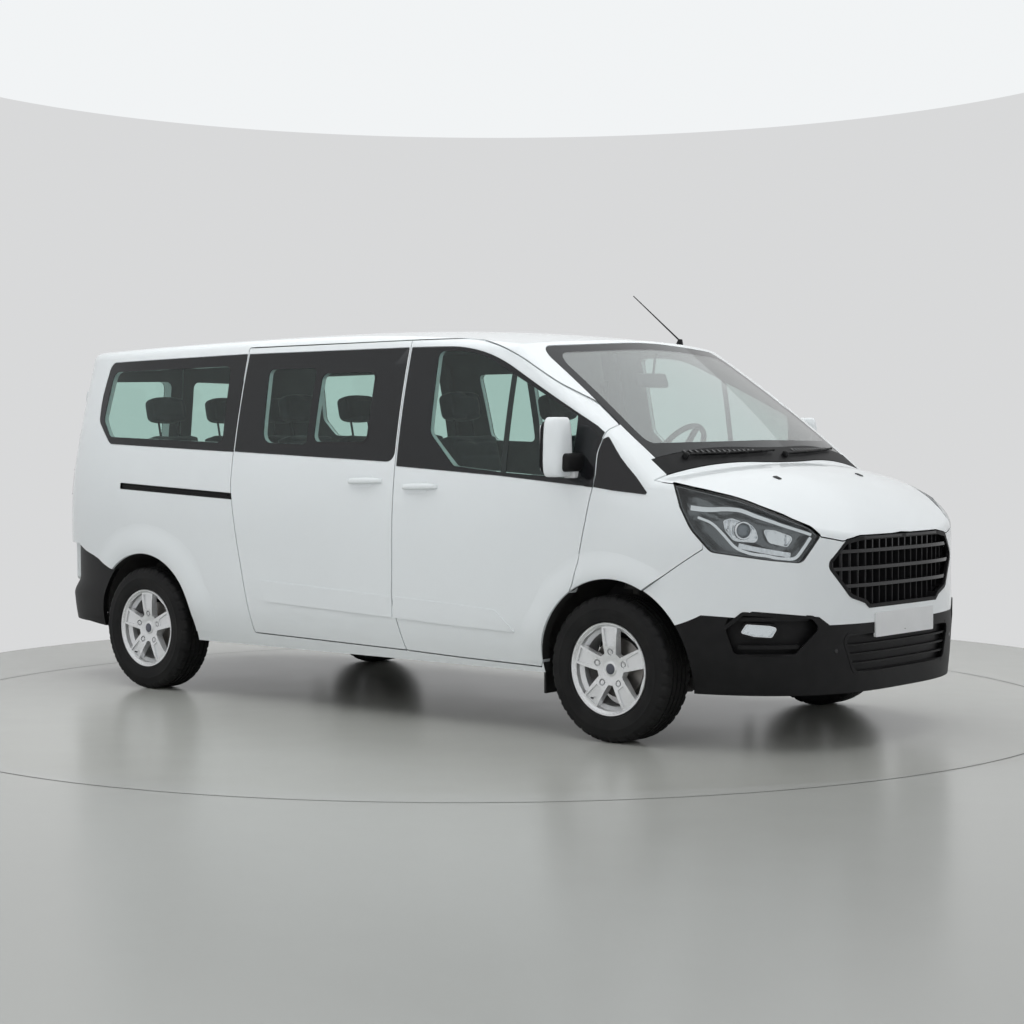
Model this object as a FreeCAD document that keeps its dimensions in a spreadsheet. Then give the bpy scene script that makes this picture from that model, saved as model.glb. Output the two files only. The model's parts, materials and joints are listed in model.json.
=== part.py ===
import FreeCAD, Part
import math
import os
import re
from types import SimpleNamespace

import Sketcher
from FreeCAD import Placement, Rotation, Vector

# A white minibus with a sliding door on its right side, at its real size in millimetres.
# The frame: +X is forward, +Y is the left side, +Z is up, and z = 0 is the road.

document = FreeCAD.newDocument("minibus")
sheet = document.addObject("Spreadsheet::Sheet", "sizes")

DRIVING_SIZES = {
    # Body envelope
    "nose_x": 2665,
    "tail_x": -2575,
    "half_width": 985,
    "sill_z": 300,
    "roof_z": 1988,
    "roof_crown": 40,
    "tumblehome": 160,
    "waist_z": 1000,
    "sill_tuck": 45,
    "tuck_z": 560,
    "corner_radius": 60,
    "roof_top_x": -300,
    "header_x": 1120,
    "header_z": 1903,
    "cowl_x": 2020,
    "cowl_z": 1285,
    "screen_bow": 140,
    "leading_edge_x": 2600,
    "leading_edge_z": 1002,
    "bonnet_crown": 80,
    # Wall thicknesses and gaps
    "door_wall": 56,
    "frame_wall": 32,
    "roof_wall": 36,
    "nose_wall": 16,
    "bonnet_wall": 22,
    "glass_depth": 6,
    "glass_gap": 0.3,
    "glass_edge_gap": 3,
    "panel_gap": 6,
    "seat_gap": 0.3,
    # Running gear
    "front_axle_x": 1660,
    "rear_axle_x": -1640,
    "front_track": 1736,
    "rear_track": 1756,
    "tyre_radius": 343,
    "tyre_half_width": 107.5,
    "tread_half_width": 84,
    "rim_radius": 217,
    "rim_half_width": 92,
    "bead_radius": 205,
    "well_radius": 186,
    "rim_wall": 8,
    "spoke_face": 78,
    "spoke_hub_half": 34,
    "spoke_rim_half": 47,
    "spoke_count": 5,
    "bolt_recess_radius": 17,
    "nut_radius": 10.5,
    "cap_radius": 33,
    "arch_radius": 422,
    "arch_front_shift": 28,
    "hub_radius": 62,
    "hub_face": 20,
    "stub_radius": 25,
    "bolt_circle_radius": 80,
    "disc_radius": 140,
    "disc_thickness": 26,
    "disc_gap": 5,
    "caliper_radius": 170,
    "kingpin_inset": 133,
    "strut_radius": 19,
    "spring_radius": 58,
    "spring_foot_z": 706,
    "spring_top_z": 880,
    "axle_beam_radius": 34,
    # Floor and cabin
    "floor_z": 560,
    "floor_thickness": 46,
    "rail_width": 80,
    "rail_y": 440,
    "rail_z": 380,
    "firewall_x": 1480,
    "firewall_wall": 30,
    "tub_wall": 10,
    "tub_inner_y": 560,
    "rear_tub_inner_y": 660,
    "front_tub_radius": 452,
    "rear_tub_radius": 430,
    "tower_radius": 70,
    "tower_top_z": 915,
    # Sides: door cuts
    "b_pillar_x": 304,
    "sliding_door_rear_x": -907,
    "door_top_z": 1908,
    "door_bottom_z": 348,
    "door_front_x": 1597,
    "door_inner_y": 770,
    "hinge_lean": 0.052,
    # Rear doors
    "rear_door_half_width": 765,
    "rear_door_bottom_z": 566,
    "rear_door_top_z": 1868,
    "rear_door_depth": 70,
    # Rear bumper
    "bumper_tail_x": -2663.5,
    "bumper_wall": 24,
    "tow_bolt_radius": 6.5,
    "tow_bolt_y": 200,
    # Seats
    "seat_width": 470,
    "front_seat_y": 400,
    "front_seat_x": 640,
    "steering_radius": 176,
    "row_two_x": -520,
    "row_three_x": -1660,
    "bench_pitch": 460,
    "cushion_z": 800,
    "cushion_height": 130,
    "cushion_length": 500,
    "backrest_height": 640,
    "backrest_thickness": 130,
    "headrest_height": 150,
    "headrest_gap": 45,
    # Grille
    "grille_bar_height": 16,
    "grille_bar_pitch": 78,
    "grille_rib_pitch": 56,
    "grille_rib_width": 9,
    # Front bumper: fog lamp pods and air intake slats
    "pod_depth": 56,
    "pod_wall": 5,
    "slat_pitch": 42,
}

for row, (name, value) in enumerate(DRIVING_SIZES.items(), start=1):
    sheet.set(f"A{row}", name)
    sheet.set(f"B{row}", str(value))
    sheet.setAlias(f"B{row}", name)
document.recompute()
s = SimpleNamespace(**{name: float(sheet.get(name)) for name in DRIVING_SIZES})

# Places that follow from the driving sizes
front_arch_x = s.front_axle_x + s.arch_front_shift
kingpin_y = s.front_track / 2 - s.kingpin_inset
LEFT = 1
RIGHT = -1
SIDES = {"right": RIGHT, "left": LEFT}


# Helpers for parametric objects

def formula(text):
    """The expression with each named size read from the sheet."""
    return re.sub(r"[a-z_]+", lambda word: "sizes." + word[0] if word[0] in DRIVING_SIZES else word[0], text)


def bind(item, **properties):
    for name, text in properties.items():
        item.setExpression(name, formula(str(text)))


def place(item, x="0", y="0", z="0", turn=None):
    if turn:
        item.Placement = Placement(Vector(0, 0, 0), turn)
    for axis, text in (("x", x), ("y", y), ("z", z)):
        item.setExpression(f".Placement.Base.{axis}", formula(str(text)))
    return item


ALONG_X = Rotation(Vector(0, 1, 0), 90)
ALONG_Y = Rotation(Vector(1, 0, 0), -90)
ACROSS = Rotation(Vector(1, 0, 0), 90)


def box(name, length, width, height, x, y, z):
    item = document.addObject("Part::Box", name)
    bind(item, Length=length, Width=width, Height=height)
    return place(item, x, y, z)


def cylinder(name, radius, height, x, y, z, turn=None):
    item = document.addObject("Part::Cylinder", name)
    bind(item, Radius=radius, Height=height)
    return place(item, x, y, z, turn)


def fuse(name, items):
    item = document.addObject("Part::MultiFuse", name)
    item.Shapes = items
    return item


def cut(name, base, tool):
    item = document.addObject("Part::Cut", name)
    item.Base = base
    item.Tool = tool
    return item


def compound(name, items):
    item = document.addObject("Part::Compound", name)
    item.Links = items
    return item


def feature(name, shape):
    item = document.addObject("Part::Feature", name)
    item.Shape = shape
    return item


nodes = {}


def node(label, item):
    item.Label = label
    nodes[label] = item
    return item


# Outlines: corners are (u, w) or (u, w, radius)

def outline_face(corners, grow=0.0):
    """A flat face in the XY plane through the corners, each rounded by its radius."""
    points = [Vector(corner[0], corner[1], 0) for corner in corners]
    radii = [corner[2] if len(corner) > 2 else 0.0 for corner in corners]
    count = len(points)
    arcs = []
    for index, here in enumerate(points):
        to_before = points[index - 1] - here
        to_after = points[(index + 1) % count] - here
        room = 0.49 * min(to_before.Length, to_after.Length)
        to_before.normalize()
        to_after.normalize()
        half = to_before.getAngle(to_after) / 2
        reach = min(radii[index] / math.tan(half), room)
        if reach < 0.5:
            arcs.append((here, None, here))
            continue
        radius = reach * math.tan(half)
        inward = (to_before + to_after).normalize()
        middle = here + inward * (radius / math.sin(half) - radius)
        arcs.append((here + to_before * reach, middle, here + to_after * reach))
    edges = []
    for index, (start, middle, end) in enumerate(arcs):
        if middle is not None:
            edges.append(Part.Arc(start, middle, end).toShape())
        following = arcs[(index + 1) % count][0]
        if (following - end).Length > 0.01:
            edges.append(Part.makeLine(end, following))
    face = Part.Face(Part.Wire(edges))
    if grow:
        face = Part.Face(face.OuterWire.makeOffset2D(grow))
    return face


def prism(face, depth, turn, base):
    solid = face.extrude(Vector(0, 0, depth))
    solid.Placement = Placement(base, turn)
    return solid


def side_prism(corners, y_from, y_to, grow=0.0):
    """Outline in (x, z), carried across the vehicle."""
    return prism(outline_face(corners, grow), y_to - y_from, ACROSS, Vector(0, y_to, 0))


def front_prism(corners, x_from, x_to, grow=0.0):
    """Outline in (y, z), carried along the vehicle."""
    turn = Rotation(Vector(1, 1, 1), 120)
    return prism(outline_face(corners, grow), x_to - x_from, turn, Vector(x_from, 0, 0))


def plan_prism(corners, z_from, z_to, grow=0.0):
    """Outline in (x, y), carried upwards."""
    return prism(outline_face(corners, grow), z_to - z_from, Rotation(), Vector(0, 0, z_from))


CORNER_TANGENT = Vector(0.766, 0.643, 0)
CORNER_OUT = Vector(0.643, -0.766, 0)


def corner_prism(corners, grow=0.0):
    """Outline in (distance along the front corner, z), carried out of the right front corner."""
    turn = Rotation(CORNER_TANGENT, Vector(0, 0, 1), CORNER_OUT, "XYZ")
    return prism(outline_face(corners, grow), 2000, turn, CORNER_OUT * 1000)


def mirrored(shape):
    return shape.mirror(Vector(0, 0, 0), Vector(0, 1, 0))


def on_side(shape, side):
    """The shape drawn for the right side, or its mirror image on the left."""
    return mirrored(shape) if side == LEFT else shape


def both(shape):
    return Part.makeCompound([shape, mirrored(shape)])


def main_solid(shape):
    """The largest solid of a cut, without its slivers."""
    return max(shape.Solids, key=lambda solid: solid.Volume)


def solids_over(shape, volume):
    return Part.makeCompound([solid for solid in shape.Solids if solid.Volume > volume])


# The body's form

def ease(low, high, value):
    share = min(max((value - low) / (high - low), 0.0), 1.0)
    return share * share * (3 - 2 * share)


def side_width(z):
    """Half the body's width at a height: upright at the waist, leaning in above, tucked in below."""
    above = max(z - s.waist_z, 0.0) / (s.roof_z - s.waist_z)
    below = max(s.tuck_z - z, 0.0) / (s.tuck_z - s.sill_z)
    return s.half_width - s.tumblehome * 1.12 * above ** 1.6 - s.sill_tuck * below ** 2


TAIL_FULLNESS = 6.8
TAIL_START_X = -700.0
NOSE_FULLNESS_ACROSS = 3.0
NOSE_FULLNESS_ALONG = 2.6
TAIL_LEAN = 75.0


def body_tail(z):
    return s.tail_x + TAIL_LEAN * ease(s.waist_z, 1950, z)


def bumper_tail(z):
    """The rear bumper's face, which draws in to a step at its top."""
    return s.bumper_tail_x + 66 * ease(495, 600, z)


def plan_point(share, z, inset, tail_at=body_tail, fullness=TAIL_FULLNESS):
    """A point of the body's plan outline at a height, from the tail's middle to the nose's middle."""
    width = side_width(z) - inset
    if share < 0.5:
        angle = share * math.pi
        tail = tail_at(z) + inset
        along = math.cos(angle) ** (2 / fullness)
        across = math.sin(angle) ** (2 / fullness)
        return TAIL_START_X - (TAIL_START_X - tail) * along, width * across
    angle = (1 - share) * math.pi
    start = s.front_axle_x + 40 - 900 * ease(s.waist_z, 1450, z)
    nose = s.nose_x - inset - 10 * ease(600, 950, z)
    along = math.cos(angle) ** (2 / NOSE_FULLNESS_ALONG)
    across = math.sin(angle) ** (2 / NOSE_FULLNESS_ACROSS)
    return start + (nose - start) * along, width * across


def evenly_spaced(points, count):
    """Points at equal steps along a chain of closely spaced points."""
    reach = [0.0]
    for before, after in zip(points, points[1:]):
        reach.append(reach[-1] + math.dist(before, after))
    chosen = []
    index = 0
    for step in range(count):
        target = reach[-1] * step / (count - 1)
        while index < len(points) - 2 and reach[index + 1] < target:
            index += 1
        share = (target - reach[index]) / max(reach[index + 1] - reach[index], 1e-9)
        share = min(max(share, 0.0), 1.0)
        before, after = points[index], points[index + 1]
        chosen.append(tuple(a + (b - a) * share for a, b in zip(before, after)))
    return chosen


WALL_HEIGHTS = (230, 300, 400, 560, 760, 1000, 1200, 1400, 1600, 1750, 1900, 2050, 2200)
HOLLOW_HEIGHTS = (240,) + WALL_HEIGHTS[1:]
BUMPER_HEIGHTS = tuple(range(230, 900, 30))
BUMPER_HOLLOW_HEIGHTS = tuple(range(245, 880, 30))
WALL_COLUMNS = 61


def smooth_face(rows):
    surface = Part.BSplineSurface()
    surface.interpolate(rows)
    return surface.toShape()


def wall_face(side, inset, heights, **plan):
    rows = []
    for z in heights:
        fine = [plan_point(step / 1200, z, inset(z), **plan) for step in range(1201)]
        fine[0] = (fine[0][0], 0.0)
        fine[-1] = (fine[-1][0], 0.0)
        rows.append([Vector(x, side * y, z) for x, y in evenly_spaced(fine, WALL_COLUMNS)])
    return smooth_face(rows)


def level_edge(face, z):
    return next(edge for edge in face.Edges
                if abs(edge.BoundBox.ZMin - z) < 1 and abs(edge.BoundBox.ZMax - z) < 1)


def wall_solid(inset, heights=WALL_HEIGHTS, **plan):
    """All that lies inside the body's walls, from below the sills to above the roof."""
    faces = [wall_face(side, inset, heights, **plan) for side in (RIGHT, LEFT)]
    for z in (heights[0], heights[-1]):
        faces.append(Part.Face(Part.Wire([level_edge(face, z) for face in faces[:2]])))
    shell = Part.makeShell(faces)
    shell.sewShape()
    return Part.makeSolid(shell)


def roof_height(x, y):
    if x > s.roof_top_x:
        drop = (s.roof_z - s.header_z) * ((x - s.roof_top_x) / (s.header_x - s.roof_top_x)) ** 2
    else:
        drop = 45.0 * ((x - s.roof_top_x) / 2200) ** 2
    return s.roof_z - drop - s.roof_crown * (y / 750) ** 2


def bonnet_height(x, y):
    share = (x - s.cowl_x + 20) / (s.leading_edge_x - s.cowl_x + 20)
    drop = (s.cowl_z - s.leading_edge_z) * (0.375 * share + 0.625 * share ** 2)
    return s.cowl_z + 5 - drop - s.bonnet_crown * (y / 900) ** 2


def screen_place(y, z):
    share = (z - s.cowl_z) / (s.header_z - s.cowl_z)
    slope = s.cowl_x - (s.cowl_x - s.header_x) * share
    return slope - s.screen_bow * (y / 750) ** 2 + 100 * share * (1 - share)


CROSS_STEPS = (-1200, -800, -400, 0, 400, 800, 1200)
ROOF_STEPS = (-2900, -2400, -1900, -1400, -900, -300, 200, 700, 1200, 1700, 2200, 2900)
BONNET_STEPS = (1500, 1700, 1850, 2000, 2250, 2500, 2750, 2900)
SCREEN_STEPS = (880, 1050, 1200, 1400, 1600, 1800, 2000, 2200)


def screen_space(depth):
    """What lies in front of the windscreen's plane, moved back by a depth."""
    rows = [[Vector(screen_place(y, z) - depth, y, z) for y in CROSS_STEPS] for z in SCREEN_STEPS]
    return smooth_face(rows).extrude(Vector(3000, 0, 0))


def bonnet_space(depth):
    """What lies under the bonnet's top, lowered by a depth."""
    rows = [[Vector(x, y, bonnet_height(x, y) - depth) for y in CROSS_STEPS] for x in BONNET_STEPS]
    return smooth_face(rows).extrude(Vector(0, 0, -3500))


def roof_space(depth):
    rows = [[Vector(x, y, roof_height(x, y) - depth) for y in CROSS_STEPS] for x in ROOF_STEPS]
    return smooth_face(rows).extrude(Vector(0, 0, -3500))


def body_form(wall_inset, top_depth, screen_depth, heights=WALL_HEIGHTS):
    form = wall_solid(wall_inset, heights).common(roof_space(top_depth))
    return main_solid(form.cut(screen_space(screen_depth).cut(bonnet_space(top_depth))))


def hollowed(form, hollow):
    """A form with a closed space inside it, which touches none of its faces."""
    return Part.makeSolid(Part.makeCompound([form.Shells[0], hollow.Shells[0].reversed()]))


def rounded_body():
    """The outer form with its long top edges rounded: roof, windscreen pillars and bonnet."""
    form = body_form(lambda z: 0.0, 0, 0)
    edges = []
    for edge in form.Edges:
        bounds = edge.BoundBox
        one_side = bounds.YMin * bounds.YMax >= 0 or min(abs(bounds.YMin), abs(bounds.YMax)) < 1
        long_top = bounds.ZMin > 900 and edge.Length > 1000 and bounds.ZMax - bounds.ZMin < 700
        if one_side and long_top:
            edges.append(edge)
    return main_solid(form.makeFillet(s.corner_radius, edges))


def cab_inset(z):
    """Doors are thick below the belt line and slim round their windows."""
    return s.door_wall - (s.door_wall - s.frame_wall) * ease(1120, 1300, z)


outer = rounded_body()
cab_shell = hollowed(outer, body_form(cab_inset, s.roof_wall, s.glass_depth + 26, HOLLOW_HEIGHTS))
nose_shell = hollowed(outer, body_form(lambda z: s.nose_wall, s.bonnet_wall, s.bonnet_wall, HOLLOW_HEIGHTS))
glass_back = wall_solid(lambda z: s.glass_depth)
glass_slot = wall_solid(lambda z: 18.0)
glass_face = wall_solid(lambda z: s.glass_depth - s.glass_gap)

# Outlines in side view, (x, z), drawn from the vehicle's right

FAR = 1400.0
FRONT_DOOR = [
    (s.b_pillar_x, s.door_top_z),
    (s.b_pillar_x + 560, s.door_top_z, 1250),
    (s.door_front_x + 20, 1495, 60),
    (1568, 1345, 120),
    (1585, 1215, 140),
    (1551, 1050, 300),
    (1478, 740, 60),
    (1250, 326),
    (745, 336, 2000),
    (s.b_pillar_x + 69, s.door_bottom_z, 20),
    (s.b_pillar_x - 6, 600, 300),
    (s.b_pillar_x, 1100, 400),
]
SLIDING_DOOR = [
    (s.sliding_door_rear_x, s.door_top_z - 6, 12),
    (s.b_pillar_x, s.door_top_z),
    (s.b_pillar_x, 1100, 400),
    (s.b_pillar_x - 6, 600, 300),
    (s.b_pillar_x + 69, s.door_bottom_z),
    (s.sliding_door_rear_x + 164, 371, 20),
    (s.sliding_door_rear_x + 50, 850, 500),
    (s.sliding_door_rear_x - 8, 1150, 500),
]
FRONT_GLASS = [
    (s.b_pillar_x + 8, 1873, 8),
    (s.b_pillar_x + 500, 1868, 1150),
    (s.door_front_x + 2, 1448, 10),
    (1560, 1345, 60),
    (1572, 1184, 10),
    (1000, 1230, 3000),
    (s.b_pillar_x + 8, 1270, 8),
]
FRONT_CLEAR = [
    (505, 1846, 30),
    (s.b_pillar_x + 470, 1842, 1100),
    (1440, 1520, 20),
    (1440, 1225, 8),
    (1000, 1250, 3000),
    (700, 1276, 40),
    (520, 1440, 60),
]
SLIDING_GLASS = [
    (s.sliding_door_rear_x + 6, 1870, 8),
    (s.b_pillar_x - 8, 1873, 8),
    (s.b_pillar_x - 8, 1290, 55),
    (s.sliding_door_rear_x + 2, 1338, 8),
]
SLIDING_CLEAR = [
    [(-718, 1780, 30), (-352, 1780, 30), (-352, 1380, 30), (-690, 1390, 60)],
    [(-304, 1752, 40), (87, 1752, 40), (87, 1393, 40), (-304, 1393, 40)],
]
QUARTER_GLASS = [
    (-2100, 1850, 60),
    (s.sliding_door_rear_x - 6, 1871, 8),
    (s.sliding_door_rear_x - 2, 1336, 8),
    (-1990, 1378, 60),
    (-2130, 1510, 60),
    (-2138, 1640, 400),
]
QUARTER_CLEAR = [(-2055, 1793, 50), (-1030, 1804, 40), (-1010, 1389, 40), (-2000, 1420, 50), (-2084, 1520, 60)]
BUMPER_CUT = [(2176, 917), (1840, 698)]


def arch_tools(grow=0.0):
    """Round spaces over the four wheels."""
    tools = []
    for x in (front_arch_x, s.rear_axle_x):
        for y in (-1200, 560):
            tools.append(Part.makeCylinder(s.arch_radius + grow, 640, Vector(x, y, s.tyre_radius), Vector(0, 1, 0)))
    return Part.makeCompound(tools)


arches = arch_tools()
half_gap = s.panel_gap / 2
lane = (-FAR, -300.0)

# Rear door opening, seen from behind, (y, z)

REAR_OPENING = [
    (-s.rear_door_half_width, s.rear_door_bottom_z, 30),
    (s.rear_door_half_width, s.rear_door_bottom_z, 30),
    (s.rear_door_half_width + 10, 1000, 900),
    (s.rear_door_half_width - 105, s.rear_door_top_z, 70),
    (-s.rear_door_half_width + 105, s.rear_door_top_z, 70),
    (-s.rear_door_half_width - 10, 1000, 900),
]
rear_zone = (s.tail_x - 60, s.tail_x + 260)
rear_opening = front_prism(REAR_OPENING, *rear_zone, half_gap)

# Roof, between the gutters

gutter_y = 700.0
ROOF_PLAN = [
    (s.tail_x + 118, -gutter_y + 40, 60),
    (s.header_x - 92, -gutter_y + 12, 20),
    (s.header_x + 4, 0, 1500),
    (s.header_x - 92, gutter_y - 12, 20),
    (s.tail_x + 118, gutter_y - 40, 60),
]
roof_prism = plan_prism(ROOF_PLAN, 1700, 2100, -0.15)
roof_hole = plan_prism(ROOF_PLAN, 1700, 2100, 0.15)
windscreen_wall = s.glass_depth - s.glass_gap

# Windscreen outline, seen from the front, (y, z)

cab_lane = (-FAR, -s.glass_gap / 2)
SCREEN_GLASS = [
    (0, s.header_z - 6, 4000),
    (735, s.header_z - 42, 90),
    (800, 1450, 900),
    (800, 1262, 60),
    (0, 1200, 3000),
    (-800, 1262, 60),
    (-800, 1450, 900),
    (-735, s.header_z - 42, 90),
]


LAMP_SIDE = [
    (s.tail_x - 100, 948), (-2452, 934, 10), (-2432, 1100, 400), (-2428, 1500, 300), (-2452, 1661, 12),
    (s.tail_x - 100, 1675),
]
BUMPER_SIDE = [
    (s.tail_x - 200, 345), (-2250, 345, 60), (-2060, 330), (-1500, 330), (-1500, 655), (-1901, 661),
    (-2060, 722), (-2194, 759), (-2290, 800), (s.tail_x - 200, 800),
]
BUMPER_CLEAR = [(s.tail_x - 200, 200), (-1500, 200)] + BUMPER_SIDE[4:]
RAIL_SLOT = [(-1855, 1161, 8), (-904, 1118), (-904, 1082), (-1855, 1124, 8)]
screen_clear = front_prism(SCREEN_GLASS, 900, 2300, -28)

# Bonnet outline, seen from the front, (y, z), and the cowl between the bonnet and the windscreen

BONNET_REGION = [
    (0, 968), (470, 944), (584, 966), (686, 1068), (788, 1133), (866, 1182), (912, 1208), (912, 1400),
    (-912, 1400), (-912, 1208), (-866, 1182), (-788, 1133), (-686, 1068), (-584, 966), (-470, 944),
]
nose_zone = (1700.0, 2800.0)
cowl_depth = 96.0
cowl_half = 828.0


def screen_foot(shift):
    """Plan of all that lies behind the bonnet's rear edge, moved back by a shift."""
    return plan_prism([
        (800, -1100), (1880 - shift, -1100), (1905 - shift, -830, 60), (2030 - shift, 0, 1500),
        (1905 - shift, 830, 60), (1880 - shift, 1100), (800, 1100),
    ], 900, 2100)


cowl_room = cowl_half + s.seat_gap
cowl_zone = Part.makeBox(800, 2 * cowl_room, 800, Vector(1500, -cowl_room, 1150)).cut(screen_foot(cowl_depth))
bonnet_tool = front_prism(BONNET_REGION, *nose_zone).cut(screen_foot(s.panel_gap))
PILLAR_FOOT = [(1200, 2100), (1920, 2100), (1930, 1163), (1200, 1163)]


def cab_side(side):
    """The body side: sill, rear quarter, pillars and cant rail, with its openings cut."""
    region = side_prism([
        (s.tail_x - 20, 2100), PILLAR_FOOT[1], PILLAR_FOOT[2], (1545, 1163), (1520, 1050), (1450, 740),
        (1380, s.sill_z), (s.tail_x - 20, s.sill_z),
    ], *cab_lane)
    panel = cab_shell.common(region)
    tools = [roof_hole, rear_opening, arches, screen_clear, bonnet_tool, cowl_zone]
    tools += [side_prism(LAMP_SIDE, *lane, s.glass_gap / 2), side_prism(BUMPER_CLEAR, *lane, 1.5)]
    tools.append(front_prism([(-1300, 230), (1300, 230), (1300, s.rear_door_bottom_z), (-1300, s.rear_door_bottom_z)],
                             s.tail_x - 100, s.tail_x + 180))
    tools.append(side_prism(FRONT_DOOR, -FAR, -s.door_inner_y + half_gap, half_gap))
    tools.append(side_prism(QUARTER_CLEAR, *lane))
    if side == RIGHT:
        tools.append(side_prism(SLIDING_DOOR, *lane, half_gap))
    else:
        tools += [side_prism(corners, *lane) for corners in SLIDING_CLEAR]
    panel = main_solid(panel.cut(tools))
    rebates = [side_prism(QUARTER_GLASS, *lane).cut(glass_back)]
    if side == RIGHT:
        rebates.append(side_prism(RAIL_SLOT, *lane).cut(glass_slot))
    if side == LEFT:
        rebates.append(side_prism(SLIDING_GLASS, *lane).cut(glass_back))
    panel = panel.cut(rebates)
    screen_rebate = front_prism(SCREEN_GLASS, 900, 2200).common(screen_space(s.glass_depth))
    return main_solid(on_side(panel.cut(screen_rebate), side))


def side_glass(corners):
    """A flush pane that lies in its rebate."""
    pane = outer.common(side_prism(corners, *lane, -s.glass_edge_gap))
    return main_solid(pane.cut(glass_face))


def door_shell(corners, glass, clears):
    door = cab_shell.common(side_prism(corners, -FAR, -s.door_inner_y - half_gap, -half_gap))
    door = door.cut([arches] + [side_prism(clear, *lane) for clear in clears])
    return main_solid(door.cut(side_prism(glass, *lane).cut(glass_back)))


screen_room = front_prism(SCREEN_GLASS, 900, 2300, s.panel_gap)
for label, side in SIDES.items():
    node(f"side_panel_{label}", feature(f"side_panel_{label}", cab_side(side)))
    door = door_shell(FRONT_DOOR, FRONT_GLASS, [FRONT_CLEAR]).cut(screen_room)
    door = on_side(main_solid(door), side)
    node(f"front_door_{label}", feature(f"front_door_{label}", door))
    pane = on_side(side_glass(FRONT_GLASS), side)
    node(f"front_door_glass_{label}", feature(f"front_door_glass_{label}", pane))

node("sliding_door", feature("sliding_door", door_shell(SLIDING_DOOR, SLIDING_GLASS, SLIDING_CLEAR)))
middle_pane = side_glass(SLIDING_GLASS)
quarter_pane = side_glass(QUARTER_GLASS)
panes = Part.makeCompound([both(middle_pane), both(quarter_pane)])
node("side_glass", feature("side_glass", panes))

# Roof and windscreen

screen_rebate = front_prism(SCREEN_GLASS, 900, 2200).common(screen_space(s.glass_depth))
roof = main_solid(cab_shell.common(roof_prism).cut([screen_rebate, rear_opening]))
node("roof", feature("roof", roof))


screen = outer.common(front_prism(SCREEN_GLASS, 900, 2200, -s.glass_edge_gap)).common(screen_foot(cowl_depth))
node("windscreen", feature("windscreen", main_solid(screen.common(screen_space(windscreen_wall)))))
cowl_sides = Part.makeBox(800, 2 * cowl_half, 1200, Vector(1500, -cowl_half, 900))
cowl = nose_shell.common(cowl_sides).common(screen_foot(s.panel_gap)).cut(screen_foot(cowl_depth - s.glass_edge_gap))


def wiper(pivot_y, tip_y):
    """An arm that rises from the cowl and a blade that lies just off the screen, parked along its foot."""
    line = [Vector(screen_place(pivot_y, 1312) - 8, pivot_y, 1310)]
    for step in range(4):
        y = pivot_y + (tip_y - pivot_y) * step / 3
        z = 1326 + 5 * step
        line.append(Vector(screen_place(y, z) + 13, y, z + 9))
    pieces = [Part.makeCylinder(5, (after - before).Length, before, after - before)
              for before, after in zip(line, line[1:])]
    pieces += [Part.makeSphere(6.5, corner) for corner in line[1:]]
    return pieces[0].fuse(pieces[1:])


wipers = [wiper(40, 640), wiper(-640, -40)]
node("cowl", feature("cowl", main_solid(cowl).fuse(wipers)))

# Nose: headlamps, wings, bonnet, bumper skin

HEADLAMP = [
    (945, 1209, 6), (1239, 1141, 900), (1549, 1013, 60), (1596, 972, 14), (1508, 852, 40),
    (1364, 866, 300), (1100, 902, 50), (1014, 1001, 200), (970, 1100, 60),
]
GRILLE = [
    (0, 964, 2500), (345, 964, 60), (449, 948, 40), (561, 842, 40), (427, 690, 60), (330, 660, 20),
    (300, 636, 10), (-300, 636, 10), (-330, 660, 20), (-427, 690, 60), (-561, 842, 40), (-449, 948, 40),
    (-345, 964, 60),
]
BLACK_BUMPER = [
    (0, 567), (545, 572), (597, 611), (832, 641), (870, 612), (933, 620), (975, 548), (1100, 540),
    (1100, 230), (-1100, 230), (-1100, 540), (-975, 548), (-933, 620), (-870, 612), (-832, 641),
    (-597, 611), (-545, 572),
]
LOWER_GRILLE = [
    (470, 520, 30), (400, 350, 40), (-400, 350, 40), (-470, 520, 30),
]
FOG_RECESS = [
    (1157, 560, 20), (1190, 640, 20), (1560, 616, 30), (1600, 560, 30), (1480, 440, 30), (1200, 440, 30),
]
headlamp_tool = corner_prism(HEADLAMP, s.glass_gap / 2)
headlamp_tools = [headlamp_tool, mirrored(headlamp_tool)]
grille_tool = front_prism(GRILLE, 2300, 2800)
fog_tool = corner_prism(FOG_RECESS)
wing_limit = side_prism([(2176, 917), (1840, 698), (1700, 500), (1400, 500), (1400, 1500), (1990, 1500),
                         (2176, 1300)], *lane)
door_edge = side_prism([
    (1300, 1500), (1579, 1500), (1585, 1215, 140), (1551, 1050, 300), (1478, 740, 60), (1250, 326), (1100, 326),
], *lane, half_gap)

lamp_clear = corner_prism(HEADLAMP, s.panel_gap)
bonnet = nose_shell.common(front_prism(BONNET_REGION, *nose_zone, -s.panel_gap))
bonnet = bonnet.cut([screen_foot(0), lamp_clear, mirrored(lamp_clear)])
bonnet = bonnet.cut(front_prism(GRILLE, 2300, 2800, s.panel_gap))
node("bonnet", feature("bonnet", main_solid(bonnet)))

wing = nose_shell.common(wing_limit)
wing = wing.cut([front_prism(SCREEN_GLASS, 1200, 2300), cowl_zone])
wing = wing.cut([bonnet_tool, headlamp_tool, arches, door_edge, cab_shell.common(side_prism(PILLAR_FOOT, *lane))])
wing = main_solid(wing)
node("wings", feature("wings", both(wing)))

lamp = main_solid(nose_shell.common(corner_prism(HEADLAMP, -s.glass_gap / 2)).cut(bonnet_tool))
node("headlamps", feature("headlamps", both(lamp)))

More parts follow.
